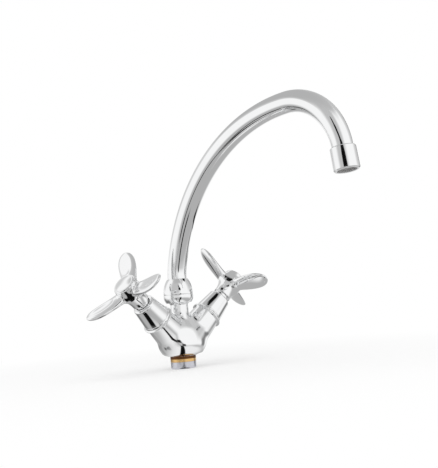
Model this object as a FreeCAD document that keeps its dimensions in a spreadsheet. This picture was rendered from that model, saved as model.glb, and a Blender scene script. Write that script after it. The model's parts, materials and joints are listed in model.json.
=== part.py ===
import FreeCAD, Part
import math
import os
import Sketcher
from FreeCAD import Placement, Rotation, Vector

# Two-handle sink mixer with a high swivel spout.
# Millimetres. +Z is up, the spout points along -Y, hot is at -X and cold at +X.
# The origin is the centre of the seat under the casting; the shank hangs below it.

sizes = {
    # base and shank
    "seatRadius": 14.3,
    "shankRadius": 13.22,
    "shankBore": 10.9,
    "shankNeckRadius": 12.1,
    "shankDrop": 13.0,
    "shankEntry": 5.0,
    "baseRingHeight": 6.0,
    # casting
    "bowlRadius": 24.6,
    "bowlHeight": 12.5,
    "bowlShoulderRadius": 20.5,
    "bowlShoulderHeight": 27.0,
    "neckRadius": 9.2,
    "neckFoot": 45.5,
    "neckTop": 52.6,
    "cupFootRadius": 13.0,
    "cupFootHeight": 54.4,
    "cupRadius": 15.6,
    "cupTop": 62.5,
    "cupBore": 12.6,
    "cupFloor": 55.5,
    "spigotBore": 7.0,
    "spigotBoreFloor": 37.0,
    "mixingBore": 5.0,
    "mixingFloor": 27.0,
    # arms of the casting, along the two tilted valve axes
    "axisHeight": 10.0,
    "axisTilt": 48.5,
    "axisSweep": 7.0,
    "armRoot": 9.0,
    "armRootRadius": 18.0,
    "armEndRadius": 14.8,
    "armLength": 43.0,
    "armBore": 9.5,
    "armBoreFloor": 20.0,
    "armBlend": 3.5,
    # tails and stud below the casting
    "inletAcross": 5.6,
    "inletBack": 2.6,
    "inletRadius": 4.5,
    "inletDepth": 14.0,
    "waterwayRadius": 2.6,
    "studForward": 7.2,
    "studRadius": 3.4,
    "studDepth": 15.0,
    # spout nut
    "nutRadius": 15.5,
    "nutBulge": 64.5,
    "nutTopRadius": 11.3,
    "nutTop": 79.0,
    "nutSkirtFoot": 56.0,
    "nutThroat": 11.55,
    "nutRelief": 10.35,
    "nutLip": 8.0,
    # spout
    "tubeRadius": 10.0,
    "tubeWall": 1.0,
    "crownRadius": 10.2,
    "tipRadius": 9.2,
    "riseBend": 55.0,
    "riseTurn": 14.0,
    "mainBend": 176.0,
    "mainTurn": 76.0,
    "crookBend": 60.0,
    "crookTurn": 83.0,
    "tipLength": 2.5,
    # spigot in the foot of the spout
    "collarHeight": 2.0,
    "collarRadius": 11.5,
    "socketLength": 12.0,
    "spigotFoot": 38.0,
    "spigotWater": 4.2,
    "ringWire": 1.78,
    "lowerRing": 41.0,
    "upperRing": 46.5,
    "slipRingHeight": 1.9,
    "slipRingSplit": 2.0,
    # aerator
    "aeratorRadius": 11.4,
    "aeratorLength": 20.5,
    "aeratorLap": 3.0,
    "aeratorMouth": 9.3,
    "insertRadius": 9.2,
    "insertHeight": 9.0,
    "portRadius": 1.1,
    "portReach": 4.6,
    "screenHeight": 1.6,
    "meshPitch": 2.6,
    "meshHole": 1.7,
    "washerHeight": 1.8,
    # bonnets
    "bonnetFootRadius": 16.8,
    "bonnetFlare": 1.3,
    "bonnetWaistRadius": 14.8,
    "bonnetWaist": 3.6,
    "grooveWidth": 0.8,
    "grooveDepth": 0.5,
    "bonnetHeight": 26.5,
    "bonnetShoulderRadius": 12.0,
    "bonnetShoulder": 2.6,
    "bonnetTopRadius": 9.9,
    "bonnetHole": 8.2,
    "bonnetCavity": 12.6,
    "bonnetCavityHeight": 8.5,
    # headworks and what is in them
    "hexAcross": 20.0,
    "hexHeight": 6.0,
    "barrelRadius": 6.6,
    "headworkTop": 61.3,
    "headworkChamber": 7.4,
    "chamberTop": 38.0,
    "headworkWaist": 8.6,
    "headworkFoot": 22.6,
    "headworkSkirt": 27.0,
    "waistTop": 37.0,
    "windowRadius": 2.4,
    "windowHeight": 32.5,
    "crossPortHeight": 34.0,
    "spindleRadius": 4.0,
    "spindleFoot": 6.9,
    "spindleFootHeight": 4.0,
    "spindleTop": 88.3,
    "clipRadius": 5.8,
    "clipThickness": 0.9,
    "clipGap": 4.0,
    "spindleRing": 52.0,
    "discRadius": 7.32,
    "discHeight": 3.0,
    "discPort": 2.0,
    "discPortReach": 3.6,
    "sealRadius": 9.2,
    "sealBore": 4.0,
    # handles
    "hubFoot": 73.7,
    "hubFootRadius": 9.6,
    "hubSkirtRadius": 7.5,
    "hubSkirtFoot": 65.8,
    "hubRadius": 12.1,
    "hubWaistHeight": 85.8,
    "hubTop": 100.3,
    "hubFloor": 91.0,
    "hubWell": 9.4,
    "lobeStart": 3.0,
    "lobeReach": 49.0,
    "lobeWidth": 20.2,
    "lobeRootWidth": 14.3,
    "lobeThickness": 7.2,
    "lobeRootThickness": 13.6,
    "lobeRootDrop": 10.3,
    "lobeRise": 11.5,
    "dishLength": 26.5,
    "dishWidth": 13.6,
    "dishDepth": 1.1,
    "dishReach": 33.6,
    "hotPhase": 91.0,
    "coldPhase": 37.0,
    "capRimRadius": 11.2,
    "capRim": 1.3,
    "capDome": 1.5,
    "capCrown": 1.0,
    "capPlug": 4.0,
    "screwHead": 3.6,
    "screwHeadHeight": 2.6,
    "screwRadius": 2.0,
    "screwLength": 12.0,
    "slotLength": 4.2,
    "slotWidth": 0.9,
    "slotFloor": 1.4,
    # clearances
    "play": 0.05,
    "seatGap": 0.02,
}

doc = FreeCAD.newDocument("mixerTap")
sheet = doc.addObject("Spreadsheet::Sheet", "sizes")
for row, (alias, number) in enumerate(sizes.items(), start=1):
    sheet.set("A%d" % row, alias)
    sheet.set("B%d" % row, str(number))
    sheet.setAlias("B%d" % row, alias)
doc.recompute()


class Size:
    # A number that remembers the formula it came from, so that a sketch or a
    # primitive takes the number and stays bound to the sheet through the formula.
    def __init__(self, number, formula):
        self.number = number
        self.formula = formula

    def join(self, other, sign, number):
        return Size(number, "(%s %s %s)" % (self.formula, sign, asSize(other).formula))

    def __add__(self, other):
        return self.join(other, "+", self.number + asSize(other).number)

    def __sub__(self, other):
        return self.join(other, "-", self.number - asSize(other).number)

    def __mul__(self, other):
        return self.join(other, "*", self.number * asSize(other).number)

    def __truediv__(self, other):
        return self.join(other, "/", self.number / asSize(other).number)

    def __neg__(self):
        return asSize(0) - self


def asSize(thing):
    if isinstance(thing, Size):
        return thing
    return Size(float(thing), repr(float(thing)))


class Sizes:
    def __getattr__(self, alias):
        return Size(float(sheet.get(alias)), "sizes.%s" % alias)


s = Sizes()
zero = asSize(0)


def bind(thing, **properties):
    for name, size in properties.items():
        size = asSize(size)
        setattr(thing, name, size.number)
        thing.setExpression(name, size.formula)
    return thing


# Sketches and turned pieces

def originPlane(body, role):
    for feature in body.Origin.OriginFeatures:
        if feature.Role == role:
            return feature
    raise ValueError(role)


def fixPoint(sketch, geometry, corner, across, up):
    for axis, kind, size in ((-2, "DistanceX", across), (-1, "DistanceY", up)):
        size = asSize(size)
        if abs(size.number) < 1e-9:
            sketch.addConstraint(Sketcher.Constraint("PointOnObject", geometry, corner, axis))
            continue
        index = sketch.addConstraint(
            Sketcher.Constraint(kind, -1, 1, geometry, corner, size.number))
        sketch.setExpression("Constraints[%d]" % index, size.formula)


def point(across, up):
    return Vector(asSize(across).number, asSize(up).number, 0)


def drawOutline(sketch, path):
    # Each step of the path is a corner, or an arc given as ("arc", middle, end).
    ends = [step[2] if step[0] == "arc" else step for step in path]
    count = len(path)
    joints = []
    for index in range(count):
        here = ends[index]
        step = path[(index + 1) % count]
        following = ends[(index + 1) % count]
        if step[0] == "arc":
            arc = Part.Arc(point(*here), point(*step[1]), point(*following))
            curve = sketch.addGeometry(arc, False)
            middle = sketch.addGeometry(Part.Point(point(*step[1])), True)
            fixPoint(sketch, middle, 1, *step[1])
            sketch.addConstraint(Sketcher.Constraint("PointOnObject", middle, 1, curve))
            forward = (sketch.getPoint(curve, 1) - point(*here)).Length < 1e-6
            first, last = (1, 2) if forward else (2, 1)
        else:
            curve = sketch.addGeometry(Part.LineSegment(point(*here), point(*following)), False)
            first, last = 1, 2
        fixPoint(sketch, curve, first, *here)
        joints.append((curve, first, last))
    for index in range(count):
        curve, first, last = joints[index]
        after, start, end = joints[(index + 1) % count]
        sketch.addConstraint(Sketcher.Constraint("Coincident", curve, last, after, start))


def newSketch(body, name, role):
    sketch = body.newObject("Sketcher::SketchObject", name)
    sketch.AttachmentSupport = (originPlane(body, role), [""])
    sketch.MapMode = "FlatFace"
    return sketch


def newBody(label, placement):
    body = doc.addObject("PartDesign::Body", label)
    body.Label = label
    body.Placement = placement
    return body


def turned(label, path, placement=Placement()):
    body = newBody(label, placement)
    sketch = newSketch(body, label + "Outline", "XZ_Plane")
    drawOutline(sketch, path)
    turn = body.newObject("PartDesign::Revolution", label + "Turn")
    turn.Profile = sketch
    turn.ReferenceAxis = (sketch, ["V_Axis"])
    turn.Angle = 360.0
    doc.recompute()
    return body


def cylinder(label, radius, height, placement=Placement()):
    thing = doc.addObject("Part::Cylinder", label)
    bind(thing, Radius=radius, Height=height)
    thing.Placement = placement
    return thing


def cut(label, base, tools):
    cutter = tools[0]
    if len(tools) > 1:
        cutter = doc.addObject("Part::MultiFuse", label + "Cutter")
        cutter.Shapes = tools
    result = doc.addObject("Part::Cut", label)
    result.Label = label
    result.Base = base
    result.Tool = cutter
    doc.recompute()
    return result


def fuse(label, pieces):
    result = doc.addObject("Part::MultiFuse", label)
    result.Label = label
    result.Shapes = pieces
    doc.recompute()
    return result


def aimed(start, end):
    along = end - start
    return Placement(start, Rotation(Vector(0, 0, 1), along)), along.Length


def ringCord(label, centre, middle, wire, placement=Placement()):
    thing = doc.addObject("Part::Torus", label)
    thing.Label = label
    bind(thing, Radius1=centre, Radius2=wire / 2)
    thing.Placement = placement.multiply(Placement(Vector(0, 0, middle.number), Rotation()))
    doc.recompute()
    return thing


def axisFrame(side):
    # Frame of one valve axis: origin inside the casting, local Z out along the arm.
    turn = -sizes["axisSweep"] if side > 0 else 180 + sizes["axisSweep"]
    return Placement(Vector(0, 0, sizes["axisHeight"]),
                     Rotation(turn, sizes["axisTilt"], 0))


def along(frame, distance):
    # The same frame moved out along its own axis.
    return frame.multiply(Placement(Vector(0, 0, distance), Rotation()))


sides = {"hot": -1, "cold": 1}
frames = {name: axisFrame(side) for name, side in sides.items()}
upright = Placement()


# Shank and base ring

shank = turned("shank", [
    (s.shankBore, -s.shankDrop),
    (s.shankRadius - 1, -s.shankDrop),
    (s.shankRadius, -s.shankDrop + 1),
    (s.shankRadius, -s.baseRingHeight),
    (s.shankNeckRadius, -s.baseRingHeight),
    (s.shankNeckRadius, s.shankEntry),
    (s.shankBore, s.shankEntry),
])

baseRing = turned("base_ring", [
    (s.shankNeckRadius + s.play, -s.baseRingHeight),
    (s.shankRadius, -s.baseRingHeight),
    (s.shankRadius, zero),
    (s.shankNeckRadius + s.play, zero),
])


# Casting: bowl, neck and cup turned about the upright axis, arms about the valve axes

def lathed(label, edges):
    thing = doc.addObject("Part::Feature", label)
    outline = Part.Face(Part.Wire(edges))
    thing.Shape = outline.revolve(Vector(0, 0, 0), Vector(0, 0, 1), 360)
    return thing


def onSide(radius, height):
    # Point of a turned outline, drawn on the rear side so that the seam stays off the arms.
    return Vector(0, asSize(radius).number, asSize(height).number)


def straight(*corners):
    return [Part.makeLine(start, end) for start, end in zip(corners, corners[1:])]


bowl = Part.BSplineCurve()
bowl.interpolate([
    onSide(s.seatRadius, 0),
    onSide(s.seatRadius + 7.0, 3.6),
    onSide(s.bowlRadius, s.bowlHeight),
    onSide(s.bowlShoulderRadius, s.bowlShoulderHeight),
    onSide(s.neckRadius + 2.2, s.neckFoot - 7.0),
    onSide(s.neckRadius, s.neckFoot),
], Tangents=[
    Vector(0, 1, 0.12), Vector(0, 1, 1), Vector(0, 0, 1),
    Vector(0, -0.6, 1), Vector(0, -0.5, 1), Vector(0, 0, 1),
], TangentFlags=[True, False, True, False, False, True])
neckTop = onSide(s.neckRadius, s.neckTop)
cupFoot = onSide(s.cupFootRadius, s.cupFootHeight)
cupBrim = onSide(s.cupRadius, s.cupTop - 1.0)
trunk = lathed("trunk", [
    bowl.toShape(),
    Part.makeLine(onSide(s.neckRadius, s.neckFoot), neckTop),
    Part.Arc(neckTop, onSide(s.neckRadius + 1.2, s.neckTop + 1.4), cupFoot).toShape(),
    Part.Arc(cupFoot, onSide(s.cupRadius - 0.7, s.cupFootHeight + 3.0), cupBrim).toShape(),
] + straight(cupBrim, onSide(s.cupRadius, s.cupTop), onSide(0, s.cupTop), onSide(0, 0),
             onSide(s.seatRadius, 0)))

arms = []
for name, frame in frames.items():
    arm = doc.addObject("Part::Cone", name + "Arm")
    bind(arm, Radius1=s.armRootRadius, Radius2=s.armEndRadius, Height=s.armLength - s.armRoot)
    arm.Placement = along(frame, sizes["armRoot"])
    arms.append(arm)
rough = fuse("roughCasting", [trunk] + arms)


def blendEdges(shape):
    # Edges where an arm runs into the trunk: free curves that rise past the bowl, off the seam.
    chosen = []
    for number, edge in enumerate(shape.Edges, start=1):
        box = edge.BoundBox
        if edge.Curve.TypeId == "Part::GeomBSplineCurve" and box.ZLength > 20 and box.XLength > 1:
            chosen.append(number)
    return chosen


blended = doc.addObject("Part::Fillet", "blendedCasting")
blended.Base = rough
blended.Edges = [(number, sizes["armBlend"], sizes["armBlend"]) for number in blendEdges(rough.Shape)]
doc.recompute()

bores = [
    cylinder("shankRecess", s.shankNeckRadius + s.play, s.shankEntry),
    cylinder("cupRecess", s.cupBore, s.cupTop - s.cupFloor,
             Placement(Vector(0, 0, sizes["cupFloor"]), Rotation())),
    cylinder("spigotRecess", s.spigotBore, s.cupTop - s.spigotBoreFloor,
             Placement(Vector(0, 0, sizes["spigotBoreFloor"]), Rotation())),
    cylinder("mixingRecess", s.mixingBore, s.cupTop - s.mixingFloor,
             Placement(Vector(0, 0, sizes["mixingFloor"]), Rotation())),
    cylinder("studHole", s.studRadius, s.studDepth,
             Placement(Vector(0, -sizes["studForward"], 0), Rotation())),
]
for name, side in sides.items():
    frame = frames[name]
    across = side * sizes["inletAcross"]
    inletTop = Vector(across, sizes["inletBack"], sizes["inletDepth"] - 1)
    seat = frame.multVec(Vector(0, 0, sizes["armBoreFloor"] + 1))
    chamber = frame.multVec(Vector(0, 0, sizes["crossPortHeight"]))
    mixing = Vector(0, 0, sizes["crossPortHeight"])
    bores.append(cylinder(name + "Bore", s.armBore, s.armLength,
                          along(frame, sizes["armBoreFloor"])))
    bores.append(cylinder(name + "Inlet", s.inletRadius, s.inletDepth,
                          Placement(Vector(across, sizes["inletBack"], 0), Rotation())))
    for label, start, end in (("Feed", inletTop, seat), ("Cross", chamber, mixing)):
        place, length = aimed(start, end)
        bores.append(cylinder(name + label, s.waterwayRadius, length, place))
mixerBody = cut("mixer_body", blended, bores)


# Spout nut: domed collar screwed into the cup

collarTop = s.cupFloor + s.seatGap + s.collarHeight
throatTop = collarTop + s.slipRingHeight + s.play
spoutNut = turned("spout_nut", [
    (s.nutThroat, s.nutSkirtFoot),
    (s.cupBore - s.play, s.nutSkirtFoot),
    (s.cupBore - s.play, s.cupTop),
    (s.cupRadius - 0.4, s.cupTop),
    ("arc", (s.nutRadius - 0.1, s.cupTop + 0.9), (s.nutRadius, s.nutBulge)),
    ("arc", (s.nutRadius - 1.2, s.nutBulge + 7.5), (s.nutTopRadius, s.nutTop - 0.8)),
    (s.nutTopRadius - 0.6, s.nutTop),
    (s.tubeRadius + s.play, s.nutTop),
    (s.tubeRadius + s.play, s.nutTop - s.nutLip),
    (s.nutRelief, s.nutTop - s.nutLip - 0.6),
    (s.nutRelief, throatTop),
    (s.nutThroat, throatTop),
])


# Spout tube: a straight foot, three bends one after another and a short straight tip

def spoutPath():
    # Corners of the centreline in the plane x = 0 as (reach, height, heading).
    reach, height, heading = 0.0, sizes["nutTop"], 0.0
    legs = []
    for bend, turn in (("riseBend", "riseTurn"), ("mainBend", "mainTurn"), ("crookBend", "crookTurn")):
        radius = sizes[bend]
        middle = heading + sizes[turn] / 2
        after = heading + sizes[turn]
        points = [(reach, height)]
        for angle in (middle, after):
            a, b = math.radians(heading), math.radians(angle)
            points.append((reach + radius * (math.cos(a) - math.cos(b)),
                           height + radius * (math.sin(b) - math.sin(a))))
        legs.append(points)
        reach, height = points[-1]
        heading = after
    return legs, reach, height, heading


legs, tipReach, tipHeight, tipHeading = spoutPath()
tubeFoot = collarTop.number
tipVector = Vector(0, -math.sin(math.radians(tipHeading)), math.cos(math.radians(tipHeading)))


def inPlane(reach, height):
    return Vector(0, -reach, height)


footEdge = Part.makeLine(Vector(0, 0, tubeFoot), Vector(0, 0, sizes["nutTop"]))
bendEdges = [Part.Arc(*[inPlane(*corner) for corner in leg]).toShape() for leg in legs]
tipStart = inPlane(tipReach, tipHeight)
tipEnd = tipStart + tipVector * sizes["tipLength"]
tipEdge = Part.makeLine(tipStart, tipEnd)


def pathObject(label, edges):
    thing = doc.addObject("Part::Feature", label)
    thing.Shape = Part.Wire(edges)
    return thing


def ringOn(label, radius, where, heading):
    thing = doc.addObject("Part::Circle", label)
    bind(thing, Radius=radius)
    thing.Placement = Placement(where, Rotation(Vector(0, 0, 1), heading))
    return thing


mainPath = pathObject("mainPath", [footEdge] + bendEdges[:2])
crookPath = pathObject("crookPath", [bendEdges[2], tipEdge])
crookStart = inPlane(*legs[2][0])
crookHeading = math.radians(sizes["riseTurn"] + sizes["mainTurn"])
crookVector = Vector(0, -math.sin(crookHeading), math.cos(crookHeading))
crownPoint = inPlane(*legs[2][1])
crownHeading = crookHeading + math.radians(sizes["crookTurn"] / 2)
crownVector = Vector(0, -math.sin(crownHeading), math.cos(crownHeading))


def swept(label, path, rings):
    thing = doc.addObject("Part::Sweep", label)
    thing.Sections = rings
    thing.Spine = (path, ["Edge%d" % n for n in range(1, len(path.Shape.Edges) + 1)])
    thing.Solid = True
    thing.Frenet = False
    doc.recompute()
    return thing


def tubeSolid(label, shrink):
    main = swept(label + "Main", mainPath,
                 [ringOn(label + "Foot", s.tubeRadius - shrink, Vector(0, 0, tubeFoot), Vector(0, 0, 1))])
    crook = swept(label + "Crook", crookPath,
                  [ringOn(label + "CrookFoot", s.tubeRadius - shrink, crookStart, crookVector),
                   ringOn(label + "Crown", s.crownRadius - shrink, crownPoint, crownVector),
                   ringOn(label + "Tip", s.tipRadius - shrink, tipEnd, tipVector)])
    return fuse(label, [main, crook])


spoutTube = cut("spout_tube", tubeSolid("tubeOutside", zero), [tubeSolid("tubeInside", s.tubeWall)])


# Foot of the spout: spigot with two sealing rings, held down by a split ring

spigot = turned("spout_spigot", [
    (s.spigotWater, s.spigotFoot),
    (s.spigotBore - s.play - 0.6, s.spigotFoot),
    (s.spigotBore - s.play, s.spigotFoot + 0.6),
    (s.spigotBore - s.play, s.lowerRing - s.ringWire * 0.65),
    (s.spigotBore - s.ringWire - s.seatGap * 2, s.lowerRing - s.ringWire * 0.65),
    (s.spigotBore - s.ringWire - s.seatGap * 2, s.lowerRing + s.ringWire * 0.65),
    (s.spigotBore - s.play, s.lowerRing + s.ringWire * 0.65),
    (s.spigotBore - s.play, s.upperRing - s.ringWire * 0.65),
    (s.spigotBore - s.ringWire - s.seatGap * 2, s.upperRing - s.ringWire * 0.65),
    (s.spigotBore - s.ringWire - s.seatGap * 2, s.upperRing + s.ringWire * 0.65),
    (s.spigotBore - s.play, s.upperRing + s.ringWire * 0.65),
    (s.spigotBore - s.play, s.cupFloor + s.seatGap),
    (s.collarRadius, s.cupFloor + s.seatGap),
    (s.collarRadius, collarTop),
    (s.tubeRadius - s.tubeWall - s.seatGap, collarTop),
    (s.tubeRadius - s.tubeWall - s.seatGap, collarTop + s.socketLength - 1.5),
    (s.tubeRadius - s.tubeWall - 0.8, collarTop + s.socketLength),
    (s.tubeRadius - s.tubeWall - 1.6, collarTop + s.socketLength),
    (s.spigotWater, collarTop + s.socketLength - 5.0),
])
for label, height in (("spout_o_ring_lower", s.lowerRing), ("spout_o_ring_upper", s.upperRing)):
    ringCord(label, s.spigotBore - s.seatGap - s.ringWire / 2, height, s.ringWire)

ringBlank = turned("slipRingBlank", [
    (s.tubeRadius + s.play, collarTop),
    (s.collarRadius, collarTop),
    (s.collarRadius, collarTop + s.slipRingHeight),
    (s.tubeRadius + s.play, collarTop + s.slipRingHeight),
])
slot = doc.addObject("Part::Box", "slipRingSlot")
bind(slot, Length=s.slipRingSplit, Width=s.collarRadius * 2, Height=s.slipRingHeight * 3)
slot.Placement = Placement(Vector(-sizes["slipRingSplit"] / 2, 0, sizes["cupFloor"]), Rotation())
cut("spout_slip_ring", ringBlank, [slot])


# Aerator, turned about the tip's axis: local Z points down out of the mouth

aeratorFrame = Placement(tipEnd, Rotation(Vector(0, 0, 1), tipVector))
lap = -s.aeratorLap
mouth = s.aeratorLength - s.aeratorLap
turned("aerator_housing", [
    (s.tipRadius + s.play, lap),
    (s.aeratorRadius - 1.0, lap),
    (s.aeratorRadius - 0.2, lap + 0.8),
    (s.aeratorRadius, mouth - 0.8),
    (s.aeratorRadius - 0.8, mouth),
    (s.aeratorMouth - 0.6, mouth),
    (s.aeratorMouth - 0.6, mouth - 2.0),
    (s.aeratorMouth + s.play, mouth - 2.0),
    (s.aeratorMouth + s.play, zero),
    (s.tipRadius + s.play, zero),
], aeratorFrame)
turned("aerator_washer", [
    (s.tipRadius - 2.5, s.seatGap),
    (s.aeratorMouth, s.seatGap),
    (s.aeratorMouth, s.washerHeight),
    (s.tipRadius - 2.5, s.washerHeight),
], aeratorFrame)
insertTop = s.washerHeight + s.seatGap
insertFoot = insertTop + s.insertHeight
insertBlank = turned("insertBlank", [
    (zero, insertTop),
    (s.tipRadius - 2.0, insertTop),
    (s.insertRadius, insertTop + 1.2),
    (s.insertRadius, insertFoot),
    (s.insertRadius - 1.2, insertFoot),
    (s.insertRadius - 1.2, insertTop + 3.4),
    (zero, insertTop + 3.4),
], aeratorFrame)
ports = []
portCount = 8
for number in range(portCount):
    angle = 360.0 * number / portCount
    place = Placement(Vector(), Rotation(angle, 0, 0)).multVec(Vector(sizes["portReach"], 0, 0))
    ports.append(cylinder("insertPort%d" % (number + 1), s.portRadius, s.insertHeight,
                          aeratorFrame.multiply(Placement(place, Rotation()))))
cut("aerator_insert", insertBlank, ports)
screenTop = mouth - 2.0 - s.screenHeight - s.seatGap
screenBlank = turned("screenBlank", [
    (zero, screenTop),
    (s.aeratorMouth - s.play, screenTop),
    (s.aeratorMouth - s.play, screenTop + s.screenHeight),
    (zero, screenTop + s.screenHeight),
], aeratorFrame)
meshes = []
for row in range(-2, 3):
    for column in range(-2, 3):
        if row * row + column * column > 6:
            continue
        hole = doc.addObject("Part::Box", "meshHole%d%d" % (row + 3, column + 3))
        bind(hole, Length=s.meshHole, Width=s.meshHole, Height=s.aeratorLength)
        corner = Vector(row * sizes["meshPitch"] - sizes["meshHole"] / 2,
                        column * sizes["meshPitch"] - sizes["meshHole"] / 2, 0)
        hole.Placement = aeratorFrame.multiply(Placement(corner, Rotation()))
        meshes.append(hole)
cut("aerator_screen", screenBlank, meshes)


# Valves: everything below is turned about the two tilted axes, measured from the axis frame

def bonnet(side, frame):
    foot = s.armLength
    waist = foot + s.bonnetWaist
    top = foot + s.bonnetHeight
    shoulder = top - s.bonnetShoulder
    slope = (s.bonnetWaistRadius - s.bonnetShoulderRadius) / (shoulder - waist)
    grooveEnd = waist + s.grooveWidth
    return turned(side + "_bonnet", [
        (s.bonnetCavity, foot),
        (s.bonnetFootRadius - 0.3, foot),
        (s.bonnetFootRadius, foot + 0.5),
        (s.bonnetFootRadius, foot + s.bonnetFlare),
        ("arc", (s.bonnetWaistRadius + 0.5, waist - 1.3), (s.bonnetWaistRadius, waist)),
        (s.bonnetWaistRadius - s.grooveDepth, waist),
        (s.bonnetWaistRadius - s.grooveDepth, grooveEnd),
        (s.bonnetWaistRadius - slope * s.grooveWidth, grooveEnd),
        (s.bonnetShoulderRadius, shoulder),
        ("arc", (s.bonnetShoulderRadius - 0.45, shoulder + 1.75), (s.bonnetTopRadius, top)),
        (s.bonnetHole, top),
        (s.bonnetHole, shoulder - 1.5),
        (s.bonnetCavity - 1.2, foot + s.bonnetCavityHeight),
        (s.bonnetCavity, foot + s.bonnetCavityHeight - 1.2),
    ], frame)


def headwork(side, frame):
    bore = s.armBore - s.play
    blank = turned(side + "HeadworkBlank", [
        (s.headworkChamber, s.headworkFoot),
        (bore, s.headworkFoot),
        (bore, s.headworkSkirt),
        (s.headworkWaist, s.headworkSkirt + 1.0),
        (s.headworkWaist, s.waistTop),
        (bore, s.waistTop + 1.0),
        (bore, s.armLength),
        (s.hexAcross / 2, s.armLength),
        (s.hexAcross / 2, s.armLength + s.hexHeight),
        (s.barrelRadius, s.armLength + s.hexHeight),
        (s.barrelRadius, s.headworkTop - 0.6),
        (s.barrelRadius - 0.6, s.headworkTop),
        (s.spindleRadius + s.play, s.headworkTop),
        (s.spindleRadius + s.play, s.chamberTop),
        (s.headworkChamber, s.chamberTop),
    ], frame)
    hexNut = doc.addObject("Part::Prism", side + "Hex")
    hexNut.Polygon = 6
    bind(hexNut, Circumradius=s.hexAcross / 2 * 1.1547, Height=s.hexHeight)
    hexNut.Placement = along(frame, sizes["armLength"])
    body = fuse(side + "HeadworkWithHex", [blank, hexNut])
    window = cylinder(side + "Window", s.windowRadius, s.armBore * 2)
    window.Placement = along(frame, sizes["windowHeight"]).multiply(
        Placement(Vector(0, -sizes["armBore"], 0), Rotation(Vector(1, 0, 0), -90)))
    core = cylinder(side + "HexCore", s.spindleRadius + s.play, s.hexHeight * 4,
                    along(frame, sizes["chamberTop"]))
    return cut(side + "_headwork", body, [window, core])


def spindle(side, frame):
    ring = s.spindleRing
    clip = s.headworkTop + s.seatGap
    foot = s.headworkFoot + s.discHeight * 2
    blank = turned(side + "SpindleBlank", [
        (zero, foot),
        (s.spindleFoot, foot),
        (s.spindleFoot, foot + s.spindleFootHeight),
        (s.spindleRadius, foot + s.spindleFootHeight),
        (s.spindleRadius, ring - s.ringWire * 0.65),
        (s.spindleRadius + s.play - s.ringWire - s.seatGap * 2, ring - s.ringWire * 0.65),
        (s.spindleRadius + s.play - s.ringWire - s.seatGap * 2, ring + s.ringWire * 0.65),
        (s.spindleRadius, ring + s.ringWire * 0.65),
        (s.spindleRadius, clip),
        (s.spindleRadius - 0.7, clip),
        (s.spindleRadius - 0.7, clip + s.clipThickness),
        (s.spindleRadius, clip + s.clipThickness),
        (s.spindleRadius, s.spindleTop - 0.6),
        (s.spindleRadius - 0.6, s.spindleTop),
        (zero, s.spindleTop),
    ], frame)
    thread = cylinder(side + "SpindleThread", s.screwRadius + s.play, s.screwLength + 2,
                      along(frame, sizes["spindleTop"] - sizes["screwLength"]))
    return cut(side + "_spindle", blank, [thread])


def spindleClip(side, frame):
    foot = s.headworkTop + s.seatGap
    blank = turned(side + "ClipBlank", [
        (s.spindleRadius - 0.65, foot),
        (s.clipRadius, foot),
        (s.clipRadius, foot + s.clipThickness),
        (s.spindleRadius - 0.65, foot + s.clipThickness),
    ], frame)
    gap = doc.addObject("Part::Box", side + "ClipGap")
    bind(gap, Length=s.clipGap, Width=s.clipRadius * 2, Height=s.clipThickness * 3)
    gap.Placement = frame.multiply(
        Placement(Vector(-sizes["clipGap"] / 2, 0, sizes["headworkTop"] - 1), Rotation()))
    return cut(side + "_spindle_clip", blank, [gap])


def disc(label, side, frame, foot, tool):
    # Ceramic disc with two sector-like ports, one each side of its middle.
    blank = cylinder(side + tool + "Blank", s.discRadius, s.discHeight, along(frame, foot))
    holes = []
    for number, sign in enumerate((-1, 1), start=1):
        offset = sign * sizes["discPortReach"]
        place = along(frame, foot - 1).multiply(Placement(Vector(offset, 0, 0), Rotation()))
        holes.append(cylinder("%s%sPort%d" % (side, tool, number), s.discPort, s.discHeight * 2, place))
    return cut(label, blank, holes)


def seatSeal(side, frame):
    return turned(side + "_seat_seal", [
        (s.sealBore, s.armBoreFloor),
        (s.sealRadius, s.armBoreFloor),
        (s.sealRadius, s.headworkFoot),
        (s.sealBore, s.headworkFoot),
    ], frame)


# Handle: a flared hub with three petal lobes that sweep outward and are dished on top

def lobeHeight(share):
    # Height of the lobe's middle: it starts below the hub's top and sweeps up to the tip.
    return sizes["hubTop"] - sizes["lobeRootDrop"] + sizes["lobeRise"] * share ** 1.3


def lobeSections():
    # (reach, height, half width, half thickness) of the oval sections from hub to tip.
    stations = []
    for share in (0.0, 0.16, 0.34, 0.52, 0.70, 0.83, 0.92, 0.975, 1.0):
        root, reach = sizes["lobeStart"], sizes["lobeReach"]
        widest = 0.62
        if share < widest:
            swell = (1 - math.cos(math.pi * share / widest)) / 2
            width = sizes["lobeRootWidth"] + (sizes["lobeWidth"] - sizes["lobeRootWidth"]) * swell
        else:
            fall = (share - widest) / (1 - widest)
            width = sizes["lobeWidth"] * math.sqrt(max(1 - fall ** 2.4, 0.02))
        thin = (1 - share) ** 3
        depth = sizes["lobeThickness"] + (sizes["lobeRootThickness"] - sizes["lobeThickness"]) * thin
        if share > 0.8:
            depth *= math.sqrt(max(1 - ((share - 0.8) / 0.2) ** 2.2, 0.06))
        height = lobeHeight(share)
        stations.append((root + (reach - root) * share, height, width / 2, depth / 2))
    return stations


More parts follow.
